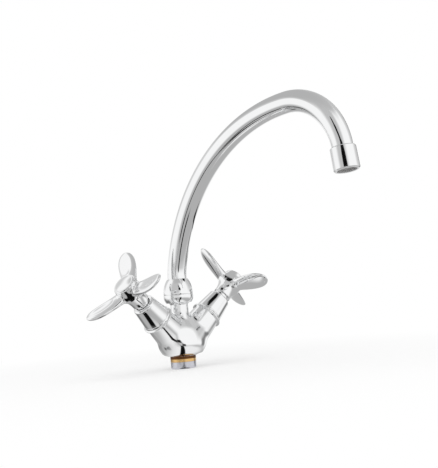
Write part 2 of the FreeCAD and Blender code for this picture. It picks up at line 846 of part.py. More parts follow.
def lobe(side, frame, number, phase):
    turn = Placement(Vector(), Rotation(phase, 0, 0))
    rings = []
    for index, (reach, height, half, thick) in enumerate(lobeSections(), start=1):
        ring = doc.addObject("Part::Ellipse", "%sLobe%dRing%d" % (side, number, index))
        ring.MajorRadius = max(half, thick)
        ring.MinorRadius = min(half, thick)
        # The section stands across the lobe: its long axis tangential, its normal radial.
        upright = Rotation(Vector(0, 1, 0), Vector(0, 0, 1), Vector(1, 0, 0), "XYZ")
        ring.Placement = frame.multiply(turn).multiply(Placement(Vector(reach, 0, height), upright))
        rings.append(ring)
    loft = doc.addObject("Part::Loft", "%sLobe%d" % (side, number))
    loft.Sections = rings
    loft.Solid = True
    loft.Ruled = False
    dish = doc.addObject("Part::Ellipsoid", "%sDish%d" % (side, number))
    bind(dish, Radius1=s.dishDepth * 2, Radius2=s.dishLength / 2 * 1.15, Radius3=s.dishWidth / 2 * 1.15)
    slope = math.degrees(math.atan2(sizes["lobeRise"], sizes["lobeReach"])) * 1.15
    height = lobeHeight(sizes["dishReach"] / sizes["lobeReach"])
    height += sizes["lobeThickness"] / 2 + sizes["dishDepth"] * 0.75
    dish.Placement = frame.multiply(turn).multiply(
        Placement(Vector(sizes["dishReach"], 0, height), Rotation(Vector(0, 1, 0), -slope)))
    doc.recompute()
    return loft, dish


def handle(side, frame, phase):
    hub = turned(side + "Hub", [
        (zero, s.hubSkirtFoot),
        (s.hubSkirtRadius, s.hubSkirtFoot),
        (s.hubSkirtRadius, s.hubFoot - 0.6),
        (s.hubFootRadius - 0.3, s.hubFoot - 0.6),
        (s.hubFootRadius, s.hubFoot),
        ("arc", (s.hubFootRadius + 0.4, s.hubFoot + 5.5), (s.hubRadius, s.hubWaistHeight)),
        (s.hubRadius, s.hubTop - 1.0),
        (s.hubRadius - 0.5, s.hubTop),
        (zero, s.hubTop),
    ], frame)
    lofts, dishes = [], []
    for number in range(3):
        loft, dish = lobe(side, frame, number + 1, phase + 120 * number)
        lofts.append(loft)
        dishes.append(dish)
    whole = fuse(side + "HandleSolid", [hub] + lofts)
    well = cylinder(side + "HubWell", s.hubWell, s.hubTop, along(frame, sizes["hubFloor"]))
    broach = cylinder(side + "HubBroach", s.spindleRadius + s.seatGap, s.spindleTop - s.hubSkirtFoot + 1,
                      along(frame, sizes["hubSkirtFoot"] - 1))
    hole = cylinder(side + "HubHole", s.screwRadius + s.play, s.hubTop - s.spindleTop,
                    along(frame, sizes["spindleTop"] - 1))
    return cut(side + "_handle", whole, dishes + [well, broach, hole])


def indexCap(side, frame):
    rim = s.hubTop + s.seatGap
    return turned(side + "_index_cap", [
        (zero, rim - s.capPlug),
        (s.hubWell - s.play, rim - s.capPlug),
        (s.hubWell - s.play, rim),
        (s.capRimRadius, rim),
        (s.capRimRadius, rim + s.capRim - 0.4),
        (s.capRimRadius - 0.5, rim + s.capRim),
        (s.capRimRadius - 1.8, rim + s.capRim),
        ("arc", ((s.capRimRadius - 1.8) / 2, rim + s.capRim + s.capDome * 0.755),
         (s.capCrown, rim + s.capRim + s.capDome)),
        (zero, rim + s.capRim + s.capDome),
    ], frame)


def handleScrew(side, frame):
    under = s.hubFloor + s.seatGap
    blank = turned(side + "ScrewBlank", [
        (zero, under - s.screwLength),
        (s.screwRadius, under - s.screwLength),
        (s.screwRadius, under),
        (s.screwHead, under),
        (s.screwHead, under + s.screwHeadHeight - 0.5),
        (s.screwHead - 0.5, under + s.screwHeadHeight),
        (zero, under + s.screwHeadHeight),
    ], frame)
    slots = []
    for number in range(2):
        bar = doc.addObject("Part::Box", "%sScrewSlot%d" % (side, number + 1))
        bind(bar, Length=s.slotLength, Width=s.slotWidth, Height=s.screwHeadHeight)
        turn = Placement(Vector(), Rotation(90 * number, 0, 0))
        corner = Vector(-sizes["slotLength"] / 2, -sizes["slotWidth"] / 2, 0)
        bar.Placement = along(frame, sizes["hubFloor"] + sizes["slotFloor"]).multiply(turn).multiply(
            Placement(corner, Rotation()))
        slots.append(bar)
    return cut(side + "_handle_screw", blank, slots)


for side, frame in frames.items():
    bonnet(side, frame)
    headwork(side, frame)
    spindle(side, frame)
    spindleClip(side, frame)
    ringCord(side + "_spindle_o_ring", s.spindleRadius + s.play - s.seatGap - s.ringWire / 2,
             s.spindleRing, s.ringWire, frame)
    disc(side + "_fixed_disc", side, frame, sizes["headworkFoot"], "Fixed")
    disc(side + "_turning_disc", side, frame, sizes["headworkFoot"] + sizes["discHeight"], "Turning")
    seatSeal(side, frame)
    handle(side, frame, sizes[side + "Phase"])
    handleScrew(side, frame)
    indexCap(side, frame)


# Every sub-part to its own file, after a check of the whole document

doc.recompute()
nodes = [
    "mixer_body", "shank", "base_ring", "spout_nut", "spout_tube", "spout_spigot",
    "spout_o_ring_lower", "spout_o_ring_upper", "spout_slip_ring", "aerator_housing",
    "aerator_washer", "aerator_insert", "aerator_screen",
]
for side in sides:
    for part in ("bonnet", "headwork", "spindle", "spindle_clip", "spindle_o_ring", "fixed_disc",
                 "turning_disc", "seat_seal", "handle", "handle_screw", "index_cap"):
        nodes.append(side + "_" + part)

for thing in doc.Objects:
    if "Invalid" in thing.State or "Error" in thing.State:
        raise RuntimeError("not sound: " + thing.Label)

os.makedirs("parts", exist_ok=True)
for node in nodes:
    found = [thing for thing in doc.Objects if thing.Label == node]
    if len(found) != 1:
        raise RuntimeError("not one object called " + node)
    shape = found[0].Shape
    if shape.isNull() or not shape.isValid() or len(shape.Solids) != 1:
        raise RuntimeError("bad shape: " + node)
    shape.exportStep("parts/%s.step" % node)
    box = shape.BoundBox
    print(node, round(shape.Volume), "x %.1f %.1f y %.1f %.1f z %.1f %.1f" % (
        box.XMin, box.XMax, box.YMin, box.YMax, box.ZMin, box.ZMax))
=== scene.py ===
import json
import math
import bmesh
import bpy
import numpy as np
from mathutils import Matrix, Vector


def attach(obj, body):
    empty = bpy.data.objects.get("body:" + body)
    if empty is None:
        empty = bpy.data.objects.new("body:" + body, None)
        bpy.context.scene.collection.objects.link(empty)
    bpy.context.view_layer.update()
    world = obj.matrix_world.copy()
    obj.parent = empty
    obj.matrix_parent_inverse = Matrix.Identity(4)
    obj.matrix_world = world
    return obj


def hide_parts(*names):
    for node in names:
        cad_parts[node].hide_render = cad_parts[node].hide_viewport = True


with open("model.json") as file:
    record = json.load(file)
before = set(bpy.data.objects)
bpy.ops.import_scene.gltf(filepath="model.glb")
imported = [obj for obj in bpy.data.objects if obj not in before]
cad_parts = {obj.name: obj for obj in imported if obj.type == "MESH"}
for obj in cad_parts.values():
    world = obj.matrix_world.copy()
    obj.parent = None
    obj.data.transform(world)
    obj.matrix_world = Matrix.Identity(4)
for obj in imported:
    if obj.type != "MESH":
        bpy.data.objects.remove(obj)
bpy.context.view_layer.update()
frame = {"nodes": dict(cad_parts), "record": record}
cadNodes = frame["nodes"]
mm = 0.001

# Two-handle sink mixer: swan-neck spout along -Y, hot valve at -X, cold valve at +X.
# Lengths in the dictionaries are millimetres, the same as the construction's own sizes.


# finishes

class Wire:
    # one socket of a node tree, so that the maths between nodes reads as plain sums
    def __init__(self, owner, socket):
        self.owner = owner
        self.socket = socket

    def work(self, operation, first, second):
        return self.owner.node("ShaderNodeMath", {"operation": operation}, {0: first, 1: second})

    def __add__(self, other):
        return self.work("ADD", self, other)

    def __radd__(self, other):
        return self.work("ADD", other, self)

    def __sub__(self, other):
        return self.work("SUBTRACT", self, other)

    def __rsub__(self, other):
        return self.work("SUBTRACT", other, self)

    def __mul__(self, other):
        return self.work("MULTIPLY", self, other)

    def __rmul__(self, other):
        return self.work("MULTIPLY", other, self)

    def __truediv__(self, other):
        return self.work("DIVIDE", self, other)

    def __rtruediv__(self, other):
        return self.work("DIVIDE", other, self)


class Nodes:
    # a node tree; node() adds any node to it, with its settings first and then its sockets' values or links
    def __init__(self, tree):
        self.tree = tree

    def node(self, kind, settings=None, values=None, out=0):
        made = self.tree.nodes.new(kind)
        for key, setting in (settings or {}).items():
            if key == "stops":
                while len(made.color_ramp.elements) < len(setting):
                    made.color_ramp.elements.new(0.5)
                for element, (place, level) in zip(made.color_ramp.elements, setting):
                    element.position = place
                    element.color = (level, level, level, 1)
            else:
                setattr(made, key, setting)
        for key, value in (values or {}).items():
            for one in value if isinstance(value, list) else [value]:
                if isinstance(one, Wire):
                    self.tree.links.new(one.socket, made.inputs[key])
                else:
                    made.inputs[key].default_value = one
        return Wire(self, made.outputs[out]) if len(made.outputs) else None


class Finish(Nodes):
    # the nodes of one material, or of the world where that is given
    def __init__(self, name, world=None):
        self.home = bpy.data.materials.new(name) if world is None else world
        self.output = "ShaderNodeOutputMaterial" if world is None else "ShaderNodeOutputWorld"
        self.home.use_nodes = True
        super().__init__(self.home.node_tree)
        self.tree.nodes.clear()

    def place(self, scale=(1, 1, 1), turn=(0, 0, 0)):
        spot = self.node("ShaderNodeTexCoord", out="Object")
        return self.node("ShaderNodeMapping", {}, {"Vector": spot, "Scale": scale, "Rotation": turn})

    def noise(self, place, scale, detail=3.0, roughness=0.5):
        return self.node("ShaderNodeTexNoise", {}, {"Vector": place, "Scale": scale, "Detail": detail,
                                                    "Roughness": roughness})

    def ramp(self, factor, *stops):
        return self.node("ShaderNodeValToRGB", {"stops": stops}, {0: factor})

    def blend(self, factor, first, second):
        return self.node("ShaderNodeMix", {"data_type": "RGBA"}, {0: factor, 6: first, 7: second}, out=2)

    def bump(self, height, strength, distance):
        return self.node("ShaderNodeBump", {}, {"Height": height, "Strength": strength, "Distance": distance})

    def surface(self, values):
        return self.end(self.node("ShaderNodeBsdfPrincipled", {}, values))

    def end(self, shader):
        self.node(self.output, {}, {"Surface": shader})
        return self.home


def grey(level, warmth=0.0):
    return (level * (1 + warmth), level, level * (1 - warmth), 1)


chromeLooks = {
    "cast": {"dark": 0.88, "light": 0.95, "roughness": 0.05, "haze": 0.04, "ripple": 0.00004},
    "tube": {"dark": 0.88, "light": 0.95, "roughness": 0.045, "haze": 0.03, "ripple": 0.00001},
    "trim": {"dark": 0.88, "light": 0.95, "roughness": 0.04, "haze": 0.03, "ripple": 0.00001},
    "grip": {"dark": 0.88, "light": 0.95, "roughness": 0.05, "haze": 0.04, "ripple": 0.00002},
}


def polishedChrome(name, look):
    # mirror chrome: faint cloudiness, wiping marks in the gloss and the last waviness of the buffing
    paint = Finish(name)
    even = paint.place()
    cloud = paint.noise(even, 55.0, 4.0)
    wipe = paint.noise(paint.place(scale=(1, 1, 0.12), turn=(0.5, 0.3, 0.2)), 900.0, 2.0, 0.7)
    speck = paint.ramp(paint.noise(even, 420.0, 2.0), (0.70, 0.0), (0.78, 1.0))
    gloss = look["roughness"] + look["haze"] * (cloud * 0.6 + wipe * 0.4) + speck * 0.05
    tone = paint.blend(cloud * 0.7 + wipe * 0.3, grey(look["dark"], -0.006), grey(look["light"], -0.003))
    swell = paint.noise(even, 70.0, 1.0)
    return paint.surface({"Base Color": tone, "Metallic": 1.0, "Roughness": gloss,
                          "Normal": paint.bump(swell, 0.25, look["ripple"])})


def turnedMetal(name, dark, light, roughness, pitch, depth):
    # lathe-turned metal: fine rings round the upright axis, stained a little in the hollows
    paint = Finish(name)
    even = paint.place()
    rings = paint.node("ShaderNodeTexWave", {"bands_direction": "Z"},
                       {"Vector": even, "Scale": pitch, "Distortion": 1.2, "Detail": 2.0}, out=1)
    stain = paint.noise(even, 160.0, 4.0, 0.6)
    tone = paint.blend(stain * 0.65 + rings * 0.35, dark, light)
    return paint.surface({"Base Color": tone, "Metallic": 1.0, "Roughness": roughness + stain * 0.12 + rings * 0.05,
                          "Normal": paint.bump(rings, 0.5, depth)})


def shadedBrassRing(name, dark, light, shadeBrown, edge):
    # brass ring with painted shade: dark brown above the height edge, where it sits under the body, and bright brass
    # below it
    paint = Finish(name)
    even = paint.place()
    mottle = paint.noise(even, 260.0, 4.0, 0.6)
    height = paint.node("ShaderNodeSeparateXYZ", {}, {0: even}, out=2)
    # painted shade: the band above the height edge turns dark brown, standing in for the body's shadow on the ring
    paintedShade = paint.ramp((height - edge) * 900 + 0.5 + (mottle - 0.5) * 0.5, (0.2, 0.0), (0.8, 1.0))
    tone = paint.blend(paintedShade, paint.blend(mottle, dark, light), shadeBrown)
    return paint.surface({"Base Color": tone, "Metallic": 1.0, "Roughness": 0.2 + mottle * 0.1 + paintedShade * 0.12,
                          "Normal": paint.bump(mottle, 0.4, 0.00003)})


def rubber(name):
    paint = Finish(name)
    grain = paint.noise(paint.place(), 1400.0, 3.0)
    bloom = paint.noise(paint.place(), 90.0, 3.0)
    return paint.surface({"Base Color": paint.blend(bloom, grey(0.018), grey(0.04)), "Metallic": 0.0,
                          "Roughness": 0.55 + grain * 0.2, "Normal": paint.bump(grain, 0.3, 0.00003)})


def mouldedWhite(name, dark, light, roughness):
    paint = Finish(name)
    flow = paint.noise(paint.place(scale=(1, 1, 3)), 120.0, 3.0)
    grain = paint.noise(paint.place(), 1800.0, 2.0)
    return paint.surface({"Base Color": paint.blend(flow, dark, light), "Metallic": 0.0,
                          "Roughness": roughness + grain * 0.15, "Normal": paint.bump(grain, 0.2, 0.00002)})


def drawnSteel(name, level, roughness):
    paint = Finish(name)
    draw = paint.noise(paint.place(scale=(1, 1, 0.1)), 1500.0, 3.0)
    heat = paint.noise(paint.place(), 130.0, 3.0)
    tone = paint.blend(heat * 0.7 + draw * 0.3, grey(level * 0.75), grey(level, 0.02))
    return paint.surface({"Base Color": tone, "Metallic": 1.0, "Roughness": roughness + draw * 0.12,
                          "Normal": paint.bump(draw, 0.3, 0.00002)})


finishes = {
    "chrome_casting": polishedChrome("castChrome", chromeLooks["cast"]),
    "chrome_tube": polishedChrome("tubeChrome", chromeLooks["tube"]),
    "chrome_trim": polishedChrome("trimChrome", chromeLooks["trim"]),
    "chrome_handle": polishedChrome("gripChrome", chromeLooks["grip"]),
    "plated_shank": turnedMetal("satinPlate", (0.46, 0.46, 0.50, 1), (0.72, 0.72, 0.77, 1), 0.10, 420.0, 0.00003),
    # the brass ring's dark brown top is painted shade under the body
    "brass_ring": shadedBrassRing("brassRing", (0.62, 0.36, 0.13, 1), (0.90, 0.62, 0.28, 1), (0.13, 0.055, 0.02, 1),
                              -0.0030),
    "brass_fitting": turnedMetal("turnedBrass", (0.50, 0.33, 0.13, 1), (0.80, 0.60, 0.30, 1), 0.18, 480.0, 0.00003),
    "black_rubber": rubber("blackRubber"),
    "white_plastic": mouldedWhite("whiteAcetal", grey(0.74, 0.01), grey(0.82, 0.005), 0.32),
    "steel_mesh": drawnSteel("wovenSteel", 0.62, 0.22),
    "spring_steel": drawnSteel("springSteel", 0.45, 0.30),
    "ceramic": mouldedWhite("groundCeramic", grey(0.66, 0.03), grey(0.76, 0.02), 0.12),
}
slotOfNode = {part["node"]: part["material_slot"] for part in frame["record"]["subparts"]}
for node, thing in cadNodes.items():
    thing.data.materials.clear()
    thing.data.materials.append(finishes[slotOfNode[node]])
print("finishes on", len(cadNodes), "nodes")


# ways of making a piece

def placed(name, data):
    thing = bpy.data.objects.new(name, data)
    bpy.context.scene.collection.objects.link(thing)
    return thing


def keep(name, mesh, slot, body, *replaced):
    # the one place where a new piece joins the object: finish, body and the node it stands for
    mesh.materials.clear()
    mesh.materials.append(finishes[slot])
    piece = placed(name, mesh)
    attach(piece, body)
    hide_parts(*replaced)
    print(name, len(mesh.polygons), "faces")


def toMesh(name, points, faces, place, sharp):
    # points in millimetres of the piece's own axes, put in place in metres
    mesh = bpy.data.meshes.new(name)
    mesh.from_pydata([place @ (Vector(point) * mm) for point in points], [], faces)
    return shade(mesh, sharp)


def smoothed(mesh, sharp):
    mesh.polygons.foreach_set("use_smooth", [True] * len(mesh.polygons))
    mesh.set_sharp_from_angle(angle=math.radians(sharp))
    return mesh


def shade(mesh, sharp):
    # near points joined, faces turned outwards, edges kept sharp past the angle
    work = bmesh.new()
    work.from_mesh(mesh)
    bmesh.ops.remove_doubles(work, verts=work.verts, dist=1e-7)
    bmesh.ops.recalc_face_normals(work, faces=work.faces)
    work.to_mesh(mesh)
    work.free()
    return smoothed(mesh, sharp)


def throughThree(start, middle, end, steps):
    # points along the arc from start by way of middle to end, without the start
    (ax, ay), (bx, by), (cx, cy) = start, middle, end
    aa, bb, cc = (x * x + y * y for x, y in (start, middle, end))
    d = 2 * (ax * (by - cy) + bx * (cy - ay) + cx * (ay - by))
    ux = (aa * (by - cy) + bb * (cy - ay) + cc * (ay - by)) / d
    uy = (aa * (cx - bx) + bb * (ax - cx) + cc * (bx - ax)) / d
    radius = math.hypot(ax - ux, ay - uy)
    angles = [math.atan2(y - uy, x - ux) for x, y in (start, middle, end)]
    turn = (angles[2] - angles[0]) % (2 * math.pi)
    if (angles[1] - angles[0]) % (2 * math.pi) > turn:
        turn -= 2 * math.pi
    return [(ux + radius * math.cos(angles[0] + turn * n / steps), uy + radius * math.sin(angles[0] + turn * n / steps))
            for n in range(1, steps + 1)]


def outlinePoints(path, ease, arcSteps=14):
    # corners are eased with a small round and a support point each side, arcs are kept as drawn
    spots = []
    for step in path:
        if step[0] == "arc":
            arc = throughThree(spots[-1][0], step[1], step[2], arcSteps)
            spots += [(spot, False) for spot in arc[:-1]] + [(arc[-1], True)]
        else:
            spots.append((step, True))
    made = []
    for index, (spot, corner) in enumerate(spots):
        before = Vector(spots[index - 1][0])
        here = Vector(spot)
        after = Vector(spots[(index + 1) % len(spots)][0])
        inward, outward = here - before, after - here
        bend = inward.angle(outward) if inward.length > 1e-9 and outward.length > 1e-9 else 0
        onAxis = here.x < 1e-6
        if not corner or onAxis or bend < 0.12:
            made.append(tuple(here))
            continue
        reach = min(ease * math.tan(bend / 2) if bend < 2.6 else ease, inward.length * 0.4, outward.length * 0.4)
        start, end = here - inward.normalized() * reach, here + outward.normalized() * reach
        support = reach * 0.25
        made.append(tuple(start - inward.normalized() * support))
        for n in range(7):
            t = n / 6
            made.append(tuple(start * (1 - t) ** 2 + here * 2 * t * (1 - t) + end * t ** 2))
        made.append(tuple(end + outward.normalized() * support))
    return made


def turned(name, path, place, ease=0.25, sides=144, sharp=40):
    # a piece turned on a lathe: its outline swept once round the local Z axis
    outline = outlinePoints(path, ease)
    points, rings = [], []
    for radius, height in outline:
        if radius < 1e-6:
            rings.append([len(points)])
            points.append((0, 0, height))
        else:
            rings.append(list(range(len(points), len(points) + sides)))
            points += [(radius * math.cos(2 * math.pi * n / sides), radius * math.sin(2 * math.pi * n / sides), height)
                       for n in range(sides)]
    faces = []
    for first, second in zip(rings, rings[1:] + rings[:1]):
        if len(first) == 1 and len(second) == 1:
            continue
        for n in range(sides):
            m = (n + 1) % sides
            corners = [first[n % len(first)], first[m % len(first)], second[m % len(second)], second[n % len(second)]]
            faces.append(list(dict.fromkeys(corners)))
    return toMesh(name, points, faces, place, sharp)


def carved(mesh, tools, sharp=32):
    # the mesh with each tool cut out of it
    blank = placed("blank", mesh)
    helpers = []
    for tool in tools:
        helper = placed("tool", tool)
        helpers.append(helper)
        cut = blank.modifiers.new("cut", "BOOLEAN")
        cut.operation = "DIFFERENCE"
        cut.solver = "MANIFOLD"
        cut.object = helper
    graph = bpy.context.evaluated_depsgraph_get()
    result = bpy.data.meshes.new_from_object(blank.evaluated_get(graph))
    result.name = mesh.name + "Cut"
    for thing in [blank] + helpers:
        bpy.data.objects.remove(thing)
    return smoothed(result, sharp)


def beside(spots, axis, du, dv):
    # the cells beside each lattice edge that runs along the axis
    cell = spots.copy()
    cell[:, (axis + 1) % 3] += du
    cell[:, (axis + 2) % 3] += dv
    return tuple(cell.T)


def surfaceNet(field, low, high, step):
    # even quads over the zero level of a distance field, one point to each cell that it passes
    spans = [np.arange(a, b + step, step) for a, b in zip(low, high)]
    lattice = np.stack(np.meshgrid(*spans, indexing="ij"), -1)
    value = field(lattice.reshape(-1, 3)).reshape(lattice.shape[:3])
    cells = tuple(n - 1 for n in value.shape)
    total, count = np.zeros(cells + (3,)), np.zeros(cells)
    crossings = []
    for axis in range(3):
        lower = [slice(None)] * 3
        upper = [slice(None)] * 3
        lower[axis], upper[axis] = slice(None, -1), slice(1, None)
        a, b = value[tuple(lower)], value[tuple(upper)]
        spots = np.argwhere((a < 0) != (b < 0))
        va, vb = a[tuple(spots.T)], b[tuple(spots.T)]
        where = lattice[tuple(spots.T)].copy()
        where[:, axis] += step * va / (va - vb)
        for du, dv in ((0, 0), (0, -1), (-1, 0), (-1, -1)):
            cell = beside(spots, axis, du, dv)
            np.add.at(total, cell, where)
            np.add.at(count, cell, 1)
        crossings.append((spots, va < 0))
    active = count > 0
    index = np.full(cells, -1)
    index[active] = np.arange(active.sum())
    quads = []
    for axis, (spots, rising) in enumerate(crossings):
        ring = np.stack([index[beside(spots, axis, du, dv)] for du, dv in ((0, 0), (-1, 0), (-1, -1), (0, -1))], 1)
        ring[~rising] = ring[~rising][:, ::-1]
        quads.append(ring)
    return total[active] / count[active][:, None], np.concatenate(quads)


def settled(field, points, rounds=2, probe=0.004, most=0.5):
    # points moved onto the zero level
    for _ in range(rounds):
        value = field(points)
        slope = np.stack([(field(points + probe * way) - field(points - probe * way)) / (2 * probe)
                          for way in np.eye(3)], 1)
        shift = value[:, None] * slope / np.maximum((slope ** 2).sum(1), 1e-6)[:, None]
        length = np.linalg.norm(shift, axis=1)
        points = points - shift * np.minimum(1, most / np.maximum(length, 1e-9))[:, None]
    return points


def formed(name, field, low, high, step, place, evenings=3):
    # a cast or forged shape from its distance field
    points, quads = surfaceNet(field, low, high, step)
    for _ in range(evenings):
        middles = points[quads].mean(1)
        total, count = np.zeros_like(points), np.zeros(len(points))
        for corner in range(4):
            np.add.at(total, quads[:, corner], middles)
            np.add.at(count, quads[:, corner], 1)
        points = settled(field, total / count[:, None])
    return toMesh(name, points.tolist(), quads.tolist(), place, 50)


def softMin(a, b, reach):
    share = np.clip(0.5 + 0.5 * (b - a) / reach, 0, 1)
    return b + (a - b) * share - reach * share * (1 - share)


def softMax(a, b, reach):
    return -softMin(-a, -b, reach)


upright = Matrix.Identity(4)
valveAxis = {"height": 10.0, "tilt": 48.5, "sweep": 7.0}


def valvePlace(side):
    # hot is the -X arm: local Z runs out along the arm
    turn = -valveAxis["sweep"] if side == "cold" else 180 + valveAxis["sweep"]
    return (Matrix.Translation((0, 0, valveAxis["height"] * mm))
            @ Matrix.Rotation(math.radians(turn), 4, "Z")
            @ Matrix.Rotation(math.radians(valveAxis["tilt"]), 4, "Y"))


sides = ("hot", "cold")


# shank and base ring

shankSizes = {"radius": 13.22, "bore": 10.9, "neck": 12.1, "drop": 13.0, "entry": 5.0, "ring": 6.0, "play": 0.05}


def makeFoot(size):
    shank = turned("shankTurned", [
        (size["bore"], -size["drop"]),
        (size["radius"] - 1, -size["drop"]),
        (size["radius"], -size["drop"] + 1),
        (size["radius"], -size["ring"]),
        (size["neck"], -size["ring"]),
        (size["neck"], size["entry"]),
        (size["bore"], size["entry"]),
    ], upright, 0.2)
    keep("shank_turned", shank, "plated_shank", "tap_body", "shank")
    ring = turned("ringTurned", [
        (size["neck"] + size["play"], -size["ring"]),
        (size["radius"], -size["ring"]),
        (size["radius"], 0),
        (size["neck"] + size["play"], 0),
    ], upright, 0.2)
    keep("base_ring_turned", ring, "brass_ring", "tap_body", "base_ring")


makeFoot(shankSizes)


# casting

castingSizes = {
    "bowl": [(14.3, 0.0), (21.3, 3.6), (24.6, 12.5), (20.5, 27.0), (11.4, 38.5), (9.2, 45.5)],
    "slopes": [2.4, 0.75, 0.0, -0.6, -0.5, 0.0],
    "neckTop": 52.6, "neck": 9.2, "cupFoot": (13.0, 54.4), "cup": 15.6, "cupTop": 62.5,
    "armRoot": 9.0, "armRootRadius": 18.0, "armEnd": 43.0, "armEndRadius": 14.8, "blend": 5.0,
    "cupBore": [(0, 27), (5, 27), (5, 37), (7, 37), (7, 55.5), (12.6, 55.5), (12.6, 64), (0, 64)],
    "recess": 12.15, "stud": 3.4, "studForward": 7.2, "armBore": 9.5, "armBoreFloor": 20.0,
    "inlet": 4.5, "inletSpot": (5.6, 2.6), "inletTop": 13.0, "seat": 21.0, "chamber": 34.0, "waterway": 2.6,
    "step": 0.75,
}


def castingOutline(size):
    # height and radius of the turned trunk, close enough together to read between them
    made = []
    bowl, slopes = size["bowl"], size["slopes"]
    for (start, end), (lean, leanEnd) in zip(zip(bowl, bowl[1:]), zip(slopes, slopes[1:])):
        rise = end[1] - start[1]
        for n in range(60):
            t = n / 60
            radius = ((2 * t ** 3 - 3 * t ** 2 + 1) * start[0] + (t ** 3 - 2 * t ** 2 + t) * rise * lean
                      + (-2 * t ** 3 + 3 * t ** 2) * end[0] + (t ** 3 - t ** 2) * rise * leanEnd)
            made.append((start[1] + rise * t, radius))
    neck, top = size["neck"], size["neckTop"]
    made += [(bowl[-1][1], neck), (top - 0.01, neck)]
    flare = throughThree((neck, top), (neck + 1.2, top + 1.4), size["cupFoot"], 30)
    flare += throughThree(size["cupFoot"], (size["cup"] - 0.7, size["cupFoot"][1] + 3.0),
                          (size["cup"], size["cupTop"] - 1.0), 30)
    made += [(height, radius) for radius, height in flare] + [(size["cupTop"] + 3, size["cup"])]
    return np.array(made)


def castingField(size):
    table = castingOutline(size)
    heights, radii = table[:, 0], table[:, 1]
    slope = np.gradient(radii, heights + np.arange(len(heights)) * 1e-9)
    axes = [np.array(valvePlace(side).to_3x3()) for side in sides]
    root = np.array([0, 0, valveAxis["height"]])

    def field(points):
        across = np.hypot(points[:, 0], points[:, 1])
        radius = np.interp(points[:, 2], heights, radii)
        lean = np.clip(np.interp(points[:, 2], heights, slope), -3, 3)
        trunk = (across - radius) / np.sqrt(1 + lean ** 2)
        below = -points[:, 2] - 2.0
        whole = np.maximum(trunk, below)
        for turn in axes:
            local = (points - root) @ turn
            out = local[:, 2]
            taper = (size["armEndRadius"] - size["armRootRadius"]) / (size["armEnd"] - size["armRoot"])
            arm = np.hypot(local[:, 0], local[:, 1]) - (size["armRootRadius"] + taper * (out - size["armRoot"]))
            arm = np.maximum(arm, np.maximum(size["armRoot"] - out, out - size["armEnd"] - 2))
            whole = softMin(whole, arm, size["blend"])
        return np.maximum(whole, points[:, 2] - size["cupTop"] - 2)

    return field


def rod(name, radius, length, place, start=0.0):
    end = start + length
    return turned(name, [(0, start), (radius, start), (radius, end), (0, end)], place, 0.0, 72)


def aimed(start, end):
    # the place whose local Z runs from start to end, and the distance between them
    way = Vector(end) - Vector(start)
    return Matrix.Translation(Vector(start) * mm) @ way.to_track_quat("Z", "Y").to_matrix().to_4x4(), way.length


def makeCasting(size):
    blank = formed("castingBlank", castingField(size), (-62, -26, -3), (62, 26, 66), size["step"], upright)
    brim = size["cupTop"]
    tools = [
        rod("belowSeat", 60, 20, upright, -20),
        turned("aboveCup", [(0, brim), (24, brim), (24, brim + 9), (0, brim + 9)], upright, 0.0, 96),
        turned("cupBore", size["cupBore"], upright, 0.0, 96),
        rod("shankRecess", size["recess"], 6, upright, -1),
        rod("studHole", size["stud"], 16, Matrix.Translation((0, -size["studForward"] * mm, 0)), -1),
    ]
    for side in sides:
        place = valvePlace(side)
        across, back = size["inletSpot"]
        if side == "hot":
            across = -across
        tools.append(rod("armFace", 20, 12, place, size["armEnd"]))
        tools.append(rod("armBore", size["armBore"], 30, place, size["armBoreFloor"]))
        tools.append(rod("inlet", size["inlet"], 15, Matrix.Translation((across * mm, back * mm, 0)), -1))
        seat = place @ Vector((0, 0, size["seat"] * mm)) / mm
        chamber = place @ Vector((0, 0, size["chamber"] * mm)) / mm
        for start, end in (((across, back, size["inletTop"]), seat), (chamber, (0, 0, size["chamber"]))):
            way, length = aimed(start, end)
            tools.append(rod("waterway", size["waterway"], length, way))
    keep("casting_cast", carved(blank, tools), "chrome_casting", "tap_body", "mixer_body")


makeCasting(castingSizes)


# spout nut

nutSizes = {"radius": 15.5, "bulge": 64.5, "topRadius": 11.3, "top": 79.0, "foot": 56.0, "throat": 11.55,
            "relief": 10.35, "lip": 8.0, "thread": 12.55, "seat": 62.5, "throatTop": 59.47, "tube": 10.05}


def makeNut(size):
    nut = turned("nutTurned", [
        (size["throat"], size["foot"]),
        (size["thread"], size["foot"]),
        (size["thread"], size["seat"]),
        (size["radius"] - 0.3, size["seat"]),
        ("arc", (size["radius"] - 0.1, size["seat"] + 0.9), (size["radius"], size["bulge"])),
        ("arc", (size["radius"] - 1.2, size["bulge"] + 7.5), (size["topRadius"], size["top"] - 0.8)),
        (size["topRadius"] - 0.6, size["top"]),
        (size["tube"], size["top"]),
        (size["tube"], size["top"] - size["lip"]),
        (size["relief"], size["top"] - size["lip"] - 0.6),
        (size["relief"], size["throatTop"]),
        (size["throat"], size["throatTop"]),
    ], upright, 0.3, 160)
    keep("spout_nut_turned", nut, "chrome_trim", "tap_body", "spout_nut")


makeNut(nutSizes)


# spout tube: a sweep along three bends

spoutSizes = {"foot": 57.52, "rise": 79.0, "bends": [(55.0, 14.0), (176.0, 76.0), (60.0, 83.0)], "tip": 2.5,
              "radius": 9.97, "crownRadius": 10.17, "tipRadius": 9.2, "wall": 1.0, "sides": 96}


